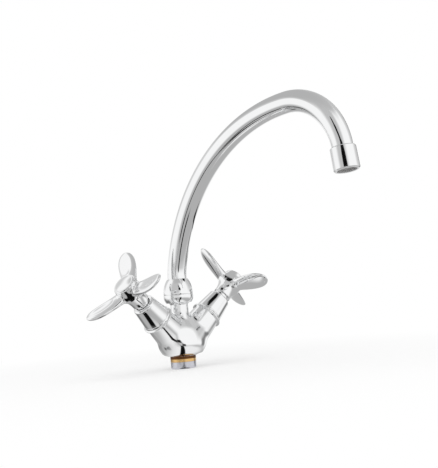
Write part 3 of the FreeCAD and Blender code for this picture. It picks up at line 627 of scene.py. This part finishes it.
def spoutPath(size):
    # centreline points, the shares of its length at the crook and at the crown, and the heading at the tip
    spots = [(0.0, size["foot"] + n * (size["rise"] - size["foot"]) / 8) for n in range(9)]
    reach, height, heading = 0.0, size["rise"], 0.0
    marks = []
    for bend, turn in size["bends"]:
        steps = int(turn / 1.5)
        marks.append(len(spots) - 1)
        for n in range(1, steps + 1):
            a, b = math.radians(heading), math.radians(heading + turn * n / steps)
            spots.append((reach + bend * (math.cos(a) - math.cos(b)), height + bend * (math.sin(b) - math.sin(a))))
        reach, height = spots[-1]
        heading += turn
    way = math.radians(heading)
    spots.append((reach + size["tip"] * math.sin(way), height + size["tip"] * math.cos(way)))
    run = [0.0]
    for first, second in zip(spots, spots[1:]):
        run.append(run[-1] + math.dist(first, second))
    crook = run[marks[2]] / run[-1]
    crown = (run[marks[2]] + math.radians(size["bends"][2][1] / 2) * size["bends"][2][0]) / run[-1]
    return [Vector((0, -a, b)) for a, b in spots], crook, crown, heading


class NodeTree(Nodes):
    # a geometry tree with named inputs
    def __init__(self, name, inputs):
        super().__init__(bpy.data.node_groups.new(name, "GeometryNodeTree"))
        sockets = self.tree.interface
        sockets.new_socket("Geometry", in_out="INPUT", socket_type="NodeSocketGeometry")
        self.keys = {}
        for label, kind in inputs.items():
            self.keys[label] = sockets.new_socket(label, in_out="INPUT", socket_type="NodeSocket" + kind).identifier
        sockets.new_socket("Geometry", in_out="OUTPUT", socket_type="NodeSocketGeometry")
        self.entry = self.tree.nodes.new("NodeGroupInput")

    def __getitem__(self, label):
        return Wire(self, self.entry.outputs[label])

    def alone(self, operation, value):
        # maths on one value, such as a square root
        return self.node("ShaderNodeMath", {"operation": operation}, {0: value})

    def end(self, geometry, finish):
        solid = self.node("GeometryNodeRealizeInstances", {}, {"Geometry": geometry})
        painted = self.node("GeometryNodeSetMaterial", {}, {"Geometry": solid, "Material": finish})
        self.node("NodeGroupOutput", {}, {"Geometry": painted})


def grown(name, start, tree, values):
    # the tree run on a starting object and turned into a plain mesh
    holder = placed(name + "Start", start)
    growth = holder.modifiers.new("growth", "NODES")
    growth.node_group = tree.tree
    for label, value in values.items():
        growth[tree.keys[label]] = value
    graph = bpy.context.evaluated_depsgraph_get()
    mesh = bpy.data.meshes.new_from_object(holder.evaluated_get(graph))
    mesh.name = name
    holder.modifiers.remove(growth)
    bpy.data.objects.remove(holder)
    return mesh


def spoutTree():
    tree = NodeTree("spoutSweep", {"Radius": "Float", "Crown Radius": "Float", "Tip Radius": "Float",
                                   "Wall": "Float", "Sides": "Int", "Crook": "Float", "Crown": "Float"})
    share = tree.node("GeometryNodeSplineParameter", out="Factor")
    toCrown = tree.node("ShaderNodeMapRange", {"interpolation_type": "SMOOTHSTEP"},
                        {0: share, 1: tree["Crook"], 2: tree["Crown"], 3: tree["Radius"], 4: tree["Crown Radius"]})
    toTip = tree.node("ShaderNodeMapRange", {"interpolation_type": "SMOOTHSTEP"},
                      {0: share, 1: tree["Crown"], 2: 1.0, 3: 0.0, 4: tree["Crown Radius"] - tree["Tip Radius"]})
    outside = toCrown - toTip
    ring = tree.node("GeometryNodeCurvePrimitiveCircle", {}, {"Resolution": tree["Sides"], "Radius": 1.0})
    skins = []
    for radius in (outside, outside - tree["Wall"]):
        skins.append(tree.node("GeometryNodeCurveToMesh", {}, {"Curve": tree["Geometry"], "Profile Curve": ring,
                                                               "Scale": radius}))
    inner = tree.node("GeometryNodeFlipFaces", {}, {"Mesh": skins[1]})
    tree.end(tree.node("GeometryNodeJoinGeometry", {}, {"Geometry": [inner, skins[0]]}), finishes["chrome_tube"])
    return tree


def makeSpout(size):
    spots, crook, crown, heading = spoutPath(size)
    line = bpy.data.curves.new("spoutLine", "CURVE")
    line.dimensions = "3D"
    spline = line.splines.new("POLY")
    spline.points.add(len(spots) - 1)
    for point, spot in zip(spline.points, spots):
        point.co = tuple(spot * mm) + (1,)
    mesh = grown("spoutSwept", line, spoutTree(), {
        "Radius": size["radius"] * mm, "Crown Radius": size["crownRadius"] * mm, "Tip Radius": size["tipRadius"] * mm,
        "Wall": size["wall"] * mm, "Sides": size["sides"], "Crook": crook, "Crown": crown})
    work = bmesh.new()
    work.from_mesh(mesh)
    borders = [edge for edge in work.edges if edge.is_boundary]
    for end in (spots[0] * mm, spots[-1] * mm):
        rim = [edge for edge in borders if (edge.verts[0].co - end).length < size["radius"] * 1.2 * mm]
        bmesh.ops.bridge_loops(work, edges=rim)
    work.to_mesh(mesh)
    work.free()
    keep("spout_tube_bent", shade(mesh, 40), "chrome_tube", "spout", "spout_tube")
    tip = spots[-1]
    return Matrix.Translation(tip * mm) @ Matrix.Rotation(math.radians(heading), 4, "X")


tipPlace = makeSpout(spoutSizes)


# aerator

aeratorSizes = {"radius": 11.4, "length": 20.5, "lap": 3.0, "mouth": 9.3, "tip": 9.2, "play": 0.05,
                "screenTop": 13.88, "screenHeight": 1.6, "screenRadius": 9.25, "screenBore": 8.0,
                "cloth": 8.3, "clothDepth": 1.0, "wire": 0.16, "wirePitch": 0.95}


def weaveTree():
    # woven wire cloth cut round: each wire is a chord of the circle that waves over and under
    tree = NodeTree("wireWeave", {"Cloth Radius": "Float", "Pitch": "Float", "Wire": "Float"})
    radius, pitch, wire = tree["Cloth Radius"], tree["Pitch"], tree["Wire"]
    count = tree.alone("FLOOR", radius / pitch)
    start = tree.node("ShaderNodeCombineXYZ", {}, {"Y": count * -1.0 * pitch})
    gap = tree.node("ShaderNodeCombineXYZ", {}, {"Y": pitch})
    row = tree.node("GeometryNodeMeshLine", {}, {"Count": count * 2.0 + 1.0, "Start Location": start, "Offset": gap})
    place = tree.node("GeometryNodeInputPosition")
    along = tree.node("ShaderNodeSeparateXYZ", {}, {"Vector": place}, out="X")
    away = tree.node("ShaderNodeSeparateXYZ", {}, {"Vector": place}, out="Y")
    half = tree.alone("SQRT", radius * radius - away * away)
    chord = tree.node("ShaderNodeCombineXYZ", {}, {"X": half, "Y": 1.0, "Z": 1.0})
    unit = tree.node("GeometryNodeCurvePrimitiveLine", {}, {"Start": (-1, 0, 0), "End": (1, 0, 0)})
    laid = tree.node("GeometryNodeInstanceOnPoints", {}, {"Points": row, "Instance": unit, "Scale": chord})
    lines = tree.node("GeometryNodeRealizeInstances", {}, {"Geometry": laid})
    fine = tree.node("GeometryNodeResampleCurve", {"mode": "LENGTH"}, {"Curve": lines, "Length": pitch / 4.0})
    phase = (along / pitch + away / pitch) * math.pi
    swing = tree.alone("SINE", phase + math.pi / 2) * wire
    layers = []
    for turn, sign in ((0.0, 1.0), (math.pi / 2, -1.0)):
        lift = tree.node("ShaderNodeCombineXYZ", {}, {"Z": swing * sign})
        waved = tree.node("GeometryNodeSetPosition", {}, {"Geometry": fine, "Offset": lift})
        ring = tree.node("GeometryNodeCurvePrimitiveCircle", {}, {"Resolution": 6, "Radius": wire})
        cloth = tree.node("GeometryNodeCurveToMesh", {}, {"Curve": waved, "Profile Curve": ring, "Fill Caps": True})
        layers.append(tree.node("GeometryNodeTransform", {}, {"Geometry": cloth, "Rotation": (0, 0, turn)}))
    tree.end(tree.node("GeometryNodeJoinGeometry", {}, {"Geometry": layers}), finishes["steel_mesh"])
    return tree


def makeAerator(size):
    lap, mouth = -size["lap"], size["length"] - size["lap"]
    housing = turned("aeratorTurned", [
        (size["tip"] + size["play"], lap),
        (size["radius"] - 1.0, lap),
        (size["radius"] - 0.2, lap + 0.8),
        (size["radius"], mouth - 0.8),
        (size["radius"] - 0.8, mouth),
        (size["mouth"] - 0.6, mouth),
        (size["mouth"] - 0.6, mouth - 2.0),
        (size["mouth"] + size["play"], mouth - 2.0),
        (size["mouth"] + size["play"], 0),
        (size["tip"] + size["play"], 0),
    ], tipPlace, 0.3, 160)
    keep("aerator_housing_turned", housing, "chrome_trim", "spout", "aerator_housing")
    top, foot = size["screenTop"], size["screenTop"] + size["screenHeight"]
    outer, inner = size["screenRadius"], size["screenBore"]
    rim = turned("screenRim", [(inner, top), (outer, top), (outer, foot), (inner, foot)], tipPlace, 0.2, 96)
    cloth = grown("screenCloth", bpy.data.meshes.new("clothStart"), weaveTree(), {
        "Cloth Radius": size["cloth"] * mm, "Pitch": size["wirePitch"] * mm, "Wire": size["wire"] * mm})
    cloth.transform(tipPlace @ Matrix.Translation((0, 0, (top + size["clothDepth"]) * mm)))
    both = bmesh.new()
    both.from_mesh(rim)
    both.from_mesh(cloth)
    joined = bpy.data.meshes.new("screenJoined")
    both.to_mesh(joined)
    both.free()
    keep("aerator_screen_woven", smoothed(joined, 50), "steel_mesh", "spout", "aerator_screen")


makeAerator(aeratorSizes)


# bonnets

bonnetSizes = {"foot": 43.0, "footRadius": 16.8, "flare": 1.3, "waistRadius": 14.8, "waist": 3.6, "groove": 0.8,
               "grooveDepth": 0.5, "height": 26.5, "shoulderRadius": 12.0, "shoulder": 2.6, "topRadius": 9.9,
               "hole": 8.2, "cavity": 12.6, "cavityHeight": 8.5}


def makeBonnet(side, size):
    foot = size["foot"]
    waist, top = foot + size["waist"], foot + size["height"]
    shoulder = top - size["shoulder"]
    slope = (size["waistRadius"] - size["shoulderRadius"]) / (shoulder - waist)
    bonnet = turned(side + "BonnetTurned", [
        (size["cavity"], foot),
        (size["footRadius"] - 0.3, foot),
        (size["footRadius"], foot + 0.5),
        (size["footRadius"], foot + size["flare"]),
        ("arc", (size["waistRadius"] + 0.5, waist - 1.3), (size["waistRadius"], waist)),
        (size["waistRadius"] - size["grooveDepth"], waist),
        (size["waistRadius"] - size["grooveDepth"], waist + size["groove"]),
        (size["waistRadius"] - slope * size["groove"], waist + size["groove"]),
        (size["shoulderRadius"], shoulder),
        ("arc", (size["shoulderRadius"] - 0.45, shoulder + 1.75), (size["topRadius"], top)),
        (size["hole"], top),
        (size["hole"], shoulder - 1.5),
        (size["cavity"] - 1.2, foot + size["cavityHeight"]),
        (size["cavity"], foot + size["cavityHeight"] - 1.2),
    ], valvePlace(side), 0.25, 160)
    keep(side + "_bonnet_turned", bonnet, "chrome_trim", "tap_body", side + "_bonnet")


for side in sides:
    makeBonnet(side, bonnetSizes)


# handles: three dished petals on a flared hub

handleSizes = {
    "skirtRadius": 7.5, "skirtFoot": 65.8, "foot": 73.1, "footRadius": 9.6, "radius": 12.1, "waist": 85.8,
    "top": 100.3, "bore": [(0, 64), (4.02, 64), (4.02, 88.32), (2.05, 88.32), (2.05, 91.0), (9.4, 91.0), (9.4, 104),
                           (0, 104)],
    "start": 3.0, "reach": 49.0, "width": 20.2, "rootWidth": 14.3, "thickness": 7.2, "rootThickness": 13.6,
    "rootHeight": 90.0, "rise": 11.5, "curl": 1.3, "widest": 0.62, "tipPower": 2.5,
    "dishLength": 26.5, "dishWidth": 13.6, "dishDepth": 1.1, "dishReach": 33.6,
    "blend": 3.2, "rim": 0.9, "step": 0.6, "phase": {"hot": 91.0, "cold": 37.0},
}


def petalField(size, points):
    # an oval section that widens, thins and sweeps upward, rounded off at the tip
    x, y, z = points.T
    share = np.clip((x - size["start"]) / (size["reach"] - size["start"]), 0, 1.15)
    swell = (1 - np.cos(np.pi * np.clip(share / size["widest"], 0, 1))) / 2
    half = (size["rootWidth"] + (size["width"] - size["rootWidth"]) * swell) / 2
    thick = (size["thickness"] + (size["rootThickness"] - size["thickness"]) * np.clip(1 - share, 0, 1) ** 3) / 2
    middle = size["rootHeight"] + size["rise"] * share ** size["curl"]
    fall = np.clip((share - size["widest"]) / (1 - size["widest"]), 0, 2)
    power = size["tipPower"]
    span = (1 - size["widest"]) * (size["reach"] - size["start"])
    level = (y / half) ** 2 + ((z - middle) / thick) ** 2 + fall ** power - 1
    slope = np.sqrt((2 * y / half ** 2) ** 2 + (2 * (z - middle) / thick ** 2) ** 2
                    + (power * fall ** (power - 1) / span) ** 2) + 0.02
    return np.maximum(level / slope, size["start"] - x)


def dishField(size, points):
    # the top of a petal is cut by a flat ellipsoid, a little wider than the dish that it leaves
    share, spread = size["dishReach"] / size["reach"], 1.15
    height = size["rootHeight"] + size["rise"] * share ** size["curl"] + size["thickness"] / 2
    height += size["dishDepth"] * 0.75
    tilt = math.atan2(size["rise"], size["reach"]) * 1.15
    x, y, z = points[:, 0] - size["dishReach"], points[:, 1], points[:, 2] - height
    along, up = x * math.cos(tilt) + z * math.sin(tilt), z * math.cos(tilt) - x * math.sin(tilt)
    radii = (size["dishLength"] / 2 * spread, size["dishWidth"] / 2 * spread, size["dishDepth"] * 2)
    level = (along / radii[0]) ** 2 + (y / radii[1]) ** 2 + (up / radii[2]) ** 2 - 1
    slope = 2 * np.sqrt((along / radii[0] ** 2) ** 2 + (y / radii[1] ** 2) ** 2 + (up / radii[2] ** 2) ** 2) + 0.02
    return level / slope


def handleField(size):
    flare = [(size["foot"] - 3, size["footRadius"] - 0.3), (size["foot"], size["footRadius"] - 0.1),
             (size["foot"] + 0.6, size["footRadius"])]
    flare += [(height, radius) for radius, height in
              throughThree((size["footRadius"], size["foot"] + 0.6), (size["footRadius"] + 0.4, size["foot"] + 6.1),
                           (size["radius"], size["waist"]), 40)]
    flare.append((size["top"] + 3, size["radius"]))
    heights, radii = np.array(flare).T

    def field(points):
        across = np.hypot(points[:, 0], points[:, 1])
        z = points[:, 2]
        hub = across - np.interp(z, heights, radii)
        hub = softMax(hub, np.maximum(size["foot"] - z, z - size["top"]), 0.7)
        for number in range(3):
            turn = math.radians(120 * number)
            c, s = math.cos(turn), math.sin(turn)
            local = points @ np.array([[c, -s, 0], [s, c, 0], [0, 0, 1]])
            petal = petalField(size, local)
            petal = softMax(petal, -dishField(size, local), size["rim"])
            hub = softMin(hub, petal, size["blend"])
        skirt = np.maximum(across - size["skirtRadius"], np.maximum(size["skirtFoot"] - z, z - size["foot"] - 2))
        return np.minimum(hub, skirt)

    return field


def makeHandles(size):
    blank = formed("handleBlank", handleField(size), (-52, -52, 64), (52, 52, 106), size["step"], upright)
    whole = carved(blank, [turned("handleBore", size["bore"], upright, 0.0, 96)], 35)
    for side in sides:
        mesh = whole.copy()
        mesh.transform(valvePlace(side) @ Matrix.Rotation(math.radians(size["phase"][side]), 4, "Z"))
        keep(side + "_handle_forged", mesh, "chrome_handle", side + "_control", side + "_handle")


makeHandles(handleSizes)


# index caps

capSizes = {"rim": 100.32, "plug": 4.0, "plugRadius": 9.35, "radius": 11.2, "lip": 1.3, "dome": 1.5, "crown": 1.0}


def makeCap(side, size):
    rim, lip = size["rim"], size["rim"] + size["lip"]
    cap = turned(side + "CapTurned", [
        (0, rim - size["plug"]),
        (size["plugRadius"], rim - size["plug"]),
        (size["plugRadius"], rim),
        (size["radius"], rim),
        (size["radius"], lip - 0.4),
        (size["radius"] - 0.5, lip),
        (size["radius"] - 1.8, lip),
        ("arc", ((size["radius"] - 1.8) / 2, lip + size["dome"] * 0.755), (size["crown"], lip + size["dome"])),
        (0, lip + size["dome"]),
    ], valvePlace(side), 0.2, 144)
    keep(side + "_index_cap_turned", cap, "chrome_trim", side + "_control", side + "_index_cap")


for side in sides:
    makeCap(side, capSizes)


# camera

view = {"azimuth": -42.6475, "elevation": -4.6624, "roll": -4.6476, "distance": 850.0,
        "right": -37.161, "up": -125.442, "lens": 63.28}


def makeCamera(size):
    a, e, r = (math.radians(size[key]) for key in ("azimuth", "elevation", "roll"))
    right = Vector((math.cos(a), math.sin(a), 0))
    up = Vector((-math.sin(a) * math.sin(e), math.cos(a) * math.sin(e), math.cos(e)))
    back = Vector((math.sin(a) * math.cos(e), -math.cos(a) * math.cos(e), math.sin(e)))
    across = right * math.cos(r) + up * math.sin(r)
    high = up * math.cos(r) - right * math.sin(r)
    spot = (back * size["distance"] - across * size["right"] - high * size["up"]) * mm
    camera = placed("camera", bpy.data.cameras.new("camera"))
    camera.data.lens = size["lens"]
    camera.data.sensor_width = 36
    camera.data.clip_start = 0.01
    camera.data.clip_end = 50
    camera.matrix_world = Matrix.Translation(spot) @ Matrix((across, high, back)).transposed().to_4x4()
    bpy.context.scene.camera = camera


makeCamera(view)


# studio: white sweep, soft boxes, and dark cards that only reflections see

studio = {"floor": -0.0131, "reach": 9.0, "glow": 0.55, "white": 1.0, "pale": 0.95, "lift": 0.5, "near": 0.10,
          "far": 0.5, "ball": 1.6, "ballHeight": 0.05, "aim": (0, -0.08, 0.1)}


def wall(low, *tops):
    # upright rungs that all stand on the height low, one for each top
    return [((turn, low), (turn, height)) for turn, height in tops]


def ribbon(level, rungs, soft=0.3, ends=0.3, whole=None):
    # soft is the share over which a border fades, ends the same for the first and last rung, and whole names a
    # border that doesn't fade
    return {"level": level, "rungs": rungs, "soft": soft, "ends": ends, "whole": whole}


# each card is a ribbon that only reflections see, a list of rungs from its left border to its right one.
# far cards: (turn, height) in degrees on a large ball; turn is measured from the camera, positive to its right
farCards = {
    "below": ribbon(0.46, wall(-88, (-180, 6), (-140, 8), (-118, 4), (-98, -6), (-84, -13), (-62, -12), (-45, -6),
                               (-20, 2), (10, 0), (30, -8), (100, -8), (140, -12), (180, 6)), 0.24, 0.0, "left"),
    "ceiling": ribbon(0.60, wall(52, (-180, 89), (0, 89), (180, 89)), 0.3, 0.0, "right"),
    "leftBack": ribbon(0.66, wall(2, (-190, 50), (-108, 50)), 0.3, 0.2),
    "front": ribbon(0.56, wall(-10, (-70, 70), (-20, 74), (28, 70)), 0.2, 0.25),
    "rightHigh": ribbon(0.60, wall(-4, (80, 72), (164, 72))),
    "back": ribbon(0.03, wall(6, (130, 32), (174, 32))),
    "edgeRight": ribbon(0.22, wall(-26, (106, 12), (146, 12))),
    "edgeLeft": ribbon(0.36, wall(-60, (-150, 8), (-122, 8))),
    "line": ribbon(0.004, [
        ((-132, -5), (-126, -1)), ((-129, -16), (-122, -10)), ((-125, -28), (-117, -21)), ((-118, -35), (-111, -27)),
        ((-104, -46), (-99, -37)), ((-90, -49), (-88, -41)), ((-70, -55), (-68, -47)), ((-54, -55), (-56, -47)),
        ((-44, -46), (-48, -37)), ((-34, -41), (-38, -33)), ((-24, -35), (-28, -26)), ((-14, -30), (-19, -21)),
        ((-4, -26), (-8, -18))], 0.24, 0.1),
    "stripe": ribbon(0.004, [
        ((2, -50), (22, -50)), ((6, -40), (24, -40)), ((10, -30), (26, -30)), ((12, -22), (27, -22)),
        ((14, -15), (27, -15)), ((18, -8), (26, -8))], 0.16, 0.12),
}
# near cards: (right, near, height) in millimetres as the camera sees them from the middle of the base
nearCards = {
    "underBody": ribbon(0.90, [
        ((-42, -25, -12.9), (72, -25, -12.9)), ((-42, 90, -12.9), (72, 90, -12.9))]),
    "leftShade": ribbon(0.20, [
        ((-52, -150, -12.8), (-52, 25, -12.8)), ((-170, -150, -12.8), (-170, 25, -12.8))], whole="left"),
    "overCrown": ribbon(0.48, [
        ((-170, -130, 335), (-170, 290, 335)), ((270, -130, 335), (270, 290, 335))], 0.26, 0.26, "left"),
    "bodyStripe": ribbon(0.004, [
        ((-4, -8, -12.6), (6, -8, -12.6)), ((-4, 25, -12.6), (8, 25, -12.6)), ((-1, 45, -12.6), (13, 45, -12.6)),
        ((3, 66, -12.6), (17, 66, -12.6)), ((6, 90, -12.6), (20, 84, -12.6))], 0.14, 0.14),
    "hotStripe": ribbon(0.004, [
        ((-50, 34, -12.6), (-24, 56, -12.6)), ((-58, 62, -12.6), (-19, 86, -12.6)),
        ((-64, 88, -12.6), (-30, 110, -12.6)), ((-78, 112, -12.6), (-48, 134, -12.6))], 0.12, 0.08),
    "coldStripe": ribbon(0.004, [
        ((20, -14, 125), (42, 20, 125)), ((48, -24, 125), (70, 10, 125))], 0.12, 0.12),
    "tip": ribbon(0.004, [
        ((38, 340, 378), (54, 350, 384)), ((31, 336, 345), (62, 354, 358)), ((30, 336, 318), (66, 357, 333)),
        ((28, 334, 296), (84, 366, 318)), ((34, 340, 276), (92, 368, 292)), ((52, 352, 258), (112, 375, 268)),
        ((58, 355, 240), (148, 380, 248)), ((42, 347, 226), (168, 383, 240)), ((38, 345, 214), (170, 383, 230)),
        ((42, 348, 196), (172, 383, 205)), ((42, 348, 140), (172, 383, 140))], 0.1, 0.05),
}
boxes = [
    {"name": "topBox", "spot": (-0.3, -0.5, 1.9), "size": 2.4, "power": 23.0},
    {"name": "leftBox", "spot": (-2.0, -0.6, 0.9), "size": 1.8, "power": 9.0},
]


def makeStudio(size):
    bpy.context.scene.world = bpy.data.worlds.new("studio")
    air = Finish("studio", bpy.context.scene.world)
    # the camera and the reflections see plain white, and the tap is lit by the weaker glow
    seen = air.node("ShaderNodeMath", {"operation": "MAXIMUM"}, {
        0: air.node("ShaderNodeLightPath", out="Is Camera Ray"),
        1: air.node("ShaderNodeLightPath", out="Is Glossy Ray")})
    strength = air.node("ShaderNodeMapRange", {}, {"Value": seen, "To Min": size["glow"], "To Max": size["white"]})
    air.end(air.node("ShaderNodeBackground", {}, {"Color": (1, 1, 1, 1), "Strength": strength}))

    paper = Finish("paperSweep")
    camera = paper.node("ShaderNodeLightPath", out="Is Camera Ray")
    spot = paper.place()
    away = paper.node("ShaderNodeVectorMath", {"operation": "LENGTH"}, {0: spot}, out="Value")
    fade = paper.node("ShaderNodeMapRange", {"interpolation_type": "SMOOTHSTEP"},
                      {0: away, 1: size["near"], 2: size["far"], 3: size["lift"], 4: 1.0})
    fibre = paper.noise(spot, 60.0, 3.0)
    tone = paper.blend(fibre, grey(size["pale"] - 0.01), grey(size["pale"]))
    flat = paper.node("ShaderNodeBsdfDiffuse", {}, {"Color": tone})
    lit = paper.node("ShaderNodeEmission", {}, {"Color": (1, 1, 1, 1), "Strength": 1.0})
    paper.end(paper.node("ShaderNodeMixShader", {}, {0: camera * fade, 1: flat, 2: lit}))
    mesh = bpy.data.meshes.new("floor")
    corners = [(x * size["reach"], y * size["reach"], size["floor"]) for x, y in ((-1, -1), (1, -1), (1, 1), (-1, 1))]
    mesh.from_pydata(corners, [], [(0, 1, 2, 3)])
    mesh.materials.append(paper.home)
    floor = placed("floor", mesh)
    floor.visible_glossy = False


def farPoint(spot):
    azimuth, lift, ball = math.radians(view["azimuth"] + spot[0]), math.radians(spot[1]), studio["ball"]
    return (ball * math.sin(azimuth) * math.cos(lift), -ball * math.cos(azimuth) * math.cos(lift),
            studio["ballHeight"] + ball * math.sin(lift))


def nearPoint(spot):
    a = math.radians(view["azimuth"])
    right, near, height = (value * mm for value in spot)
    return (right * math.cos(a) + near * math.sin(a), right * math.sin(a) - near * math.cos(a), height)


def easing(place, soft):
    # 0 at both borders of the card, 1 from the share soft inwards
    edge = min(1.0, min(place, 1 - place) / soft) if soft else 1.0
    return edge * edge * (3 - 2 * edge)


def makeCard(name, card, pointOf, layer=0, across=14, along=6):
    # a soft-edged sheet through the rungs; layer keeps overlapping far cards apart
    rungs = []
    for first, second in zip(card["rungs"], card["rungs"][1:]):
        for n in range(along):
            rungs.append([[a + (b - a) * n / along for a, b in zip(one, two)] for one, two in zip(first, second)])
    rungs.append([list(end) for end in card["rungs"][-1]])
    points, cover = [], []
    for row, (left, right) in enumerate(rungs):
        for n in range(across + 1):
            share = n / across
            spot = [a + (b - a) * share for a, b in zip(left, right)]
            points.append(Vector(pointOf(spot)) * (1 - 0.01 * layer))
            side = {"left": max(share, 0.5), "right": min(share, 0.5)}.get(card["whole"], share)
            cover.append(easing(side, card["soft"]) * easing(row / (len(rungs) - 1), card["ends"]))
    columns = across + 1
    faces = [(a, a + 1, a + columns + 1, a + columns) for row in range(len(rungs) - 1)
             for a in range(row * columns, row * columns + across)]
    mesh = bpy.data.meshes.new(name)
    mesh.from_pydata(points, [], faces)
    mesh.attributes.new("cover", "FLOAT", "POINT").data.foreach_set("value", cover)
    paint = Finish(name + "Card")
    share = paint.node("ShaderNodeAttribute", {"attribute_name": "cover"}, out=2)
    clear = paint.node("ShaderNodeBsdfTransparent", {}, {})
    shine = paint.node("ShaderNodeEmission", {}, {"Color": grey(card["level"]), "Strength": 1.0})
    paint.end(paint.node("ShaderNodeMixShader", {}, {0: share, 1: clear, 2: shine}))
    mesh.materials.append(paint.home)
    piece = placed(name + "_card", mesh)
    for kind in ("camera", "diffuse", "shadow", "transmission"):
        setattr(piece, "visible_" + kind, False)


def makeBox(box):
    lamp = bpy.data.lights.new(box["name"], "AREA")
    lamp.shape = "SQUARE"
    lamp.size = box["size"]
    lamp.energy = box["power"]
    thing = placed(box["name"], lamp)
    thing.visible_glossy = False
    spot = Vector(box["spot"])
    aim = (Vector(studio["aim"]) - spot).to_track_quat("-Z", "Y").to_matrix().to_4x4()
    thing.matrix_world = Matrix.Translation(spot) @ aim


makeStudio(studio)
for layer, (name, card) in enumerate(farCards.items()):
    makeCard(name, card, farPoint, layer)
for name, card in nearCards.items():
    makeCard(name, card, nearPoint)
for box in boxes:
    makeBox(box)
bpy.context.scene.view_settings.view_transform = "Standard"
print("studio ready")
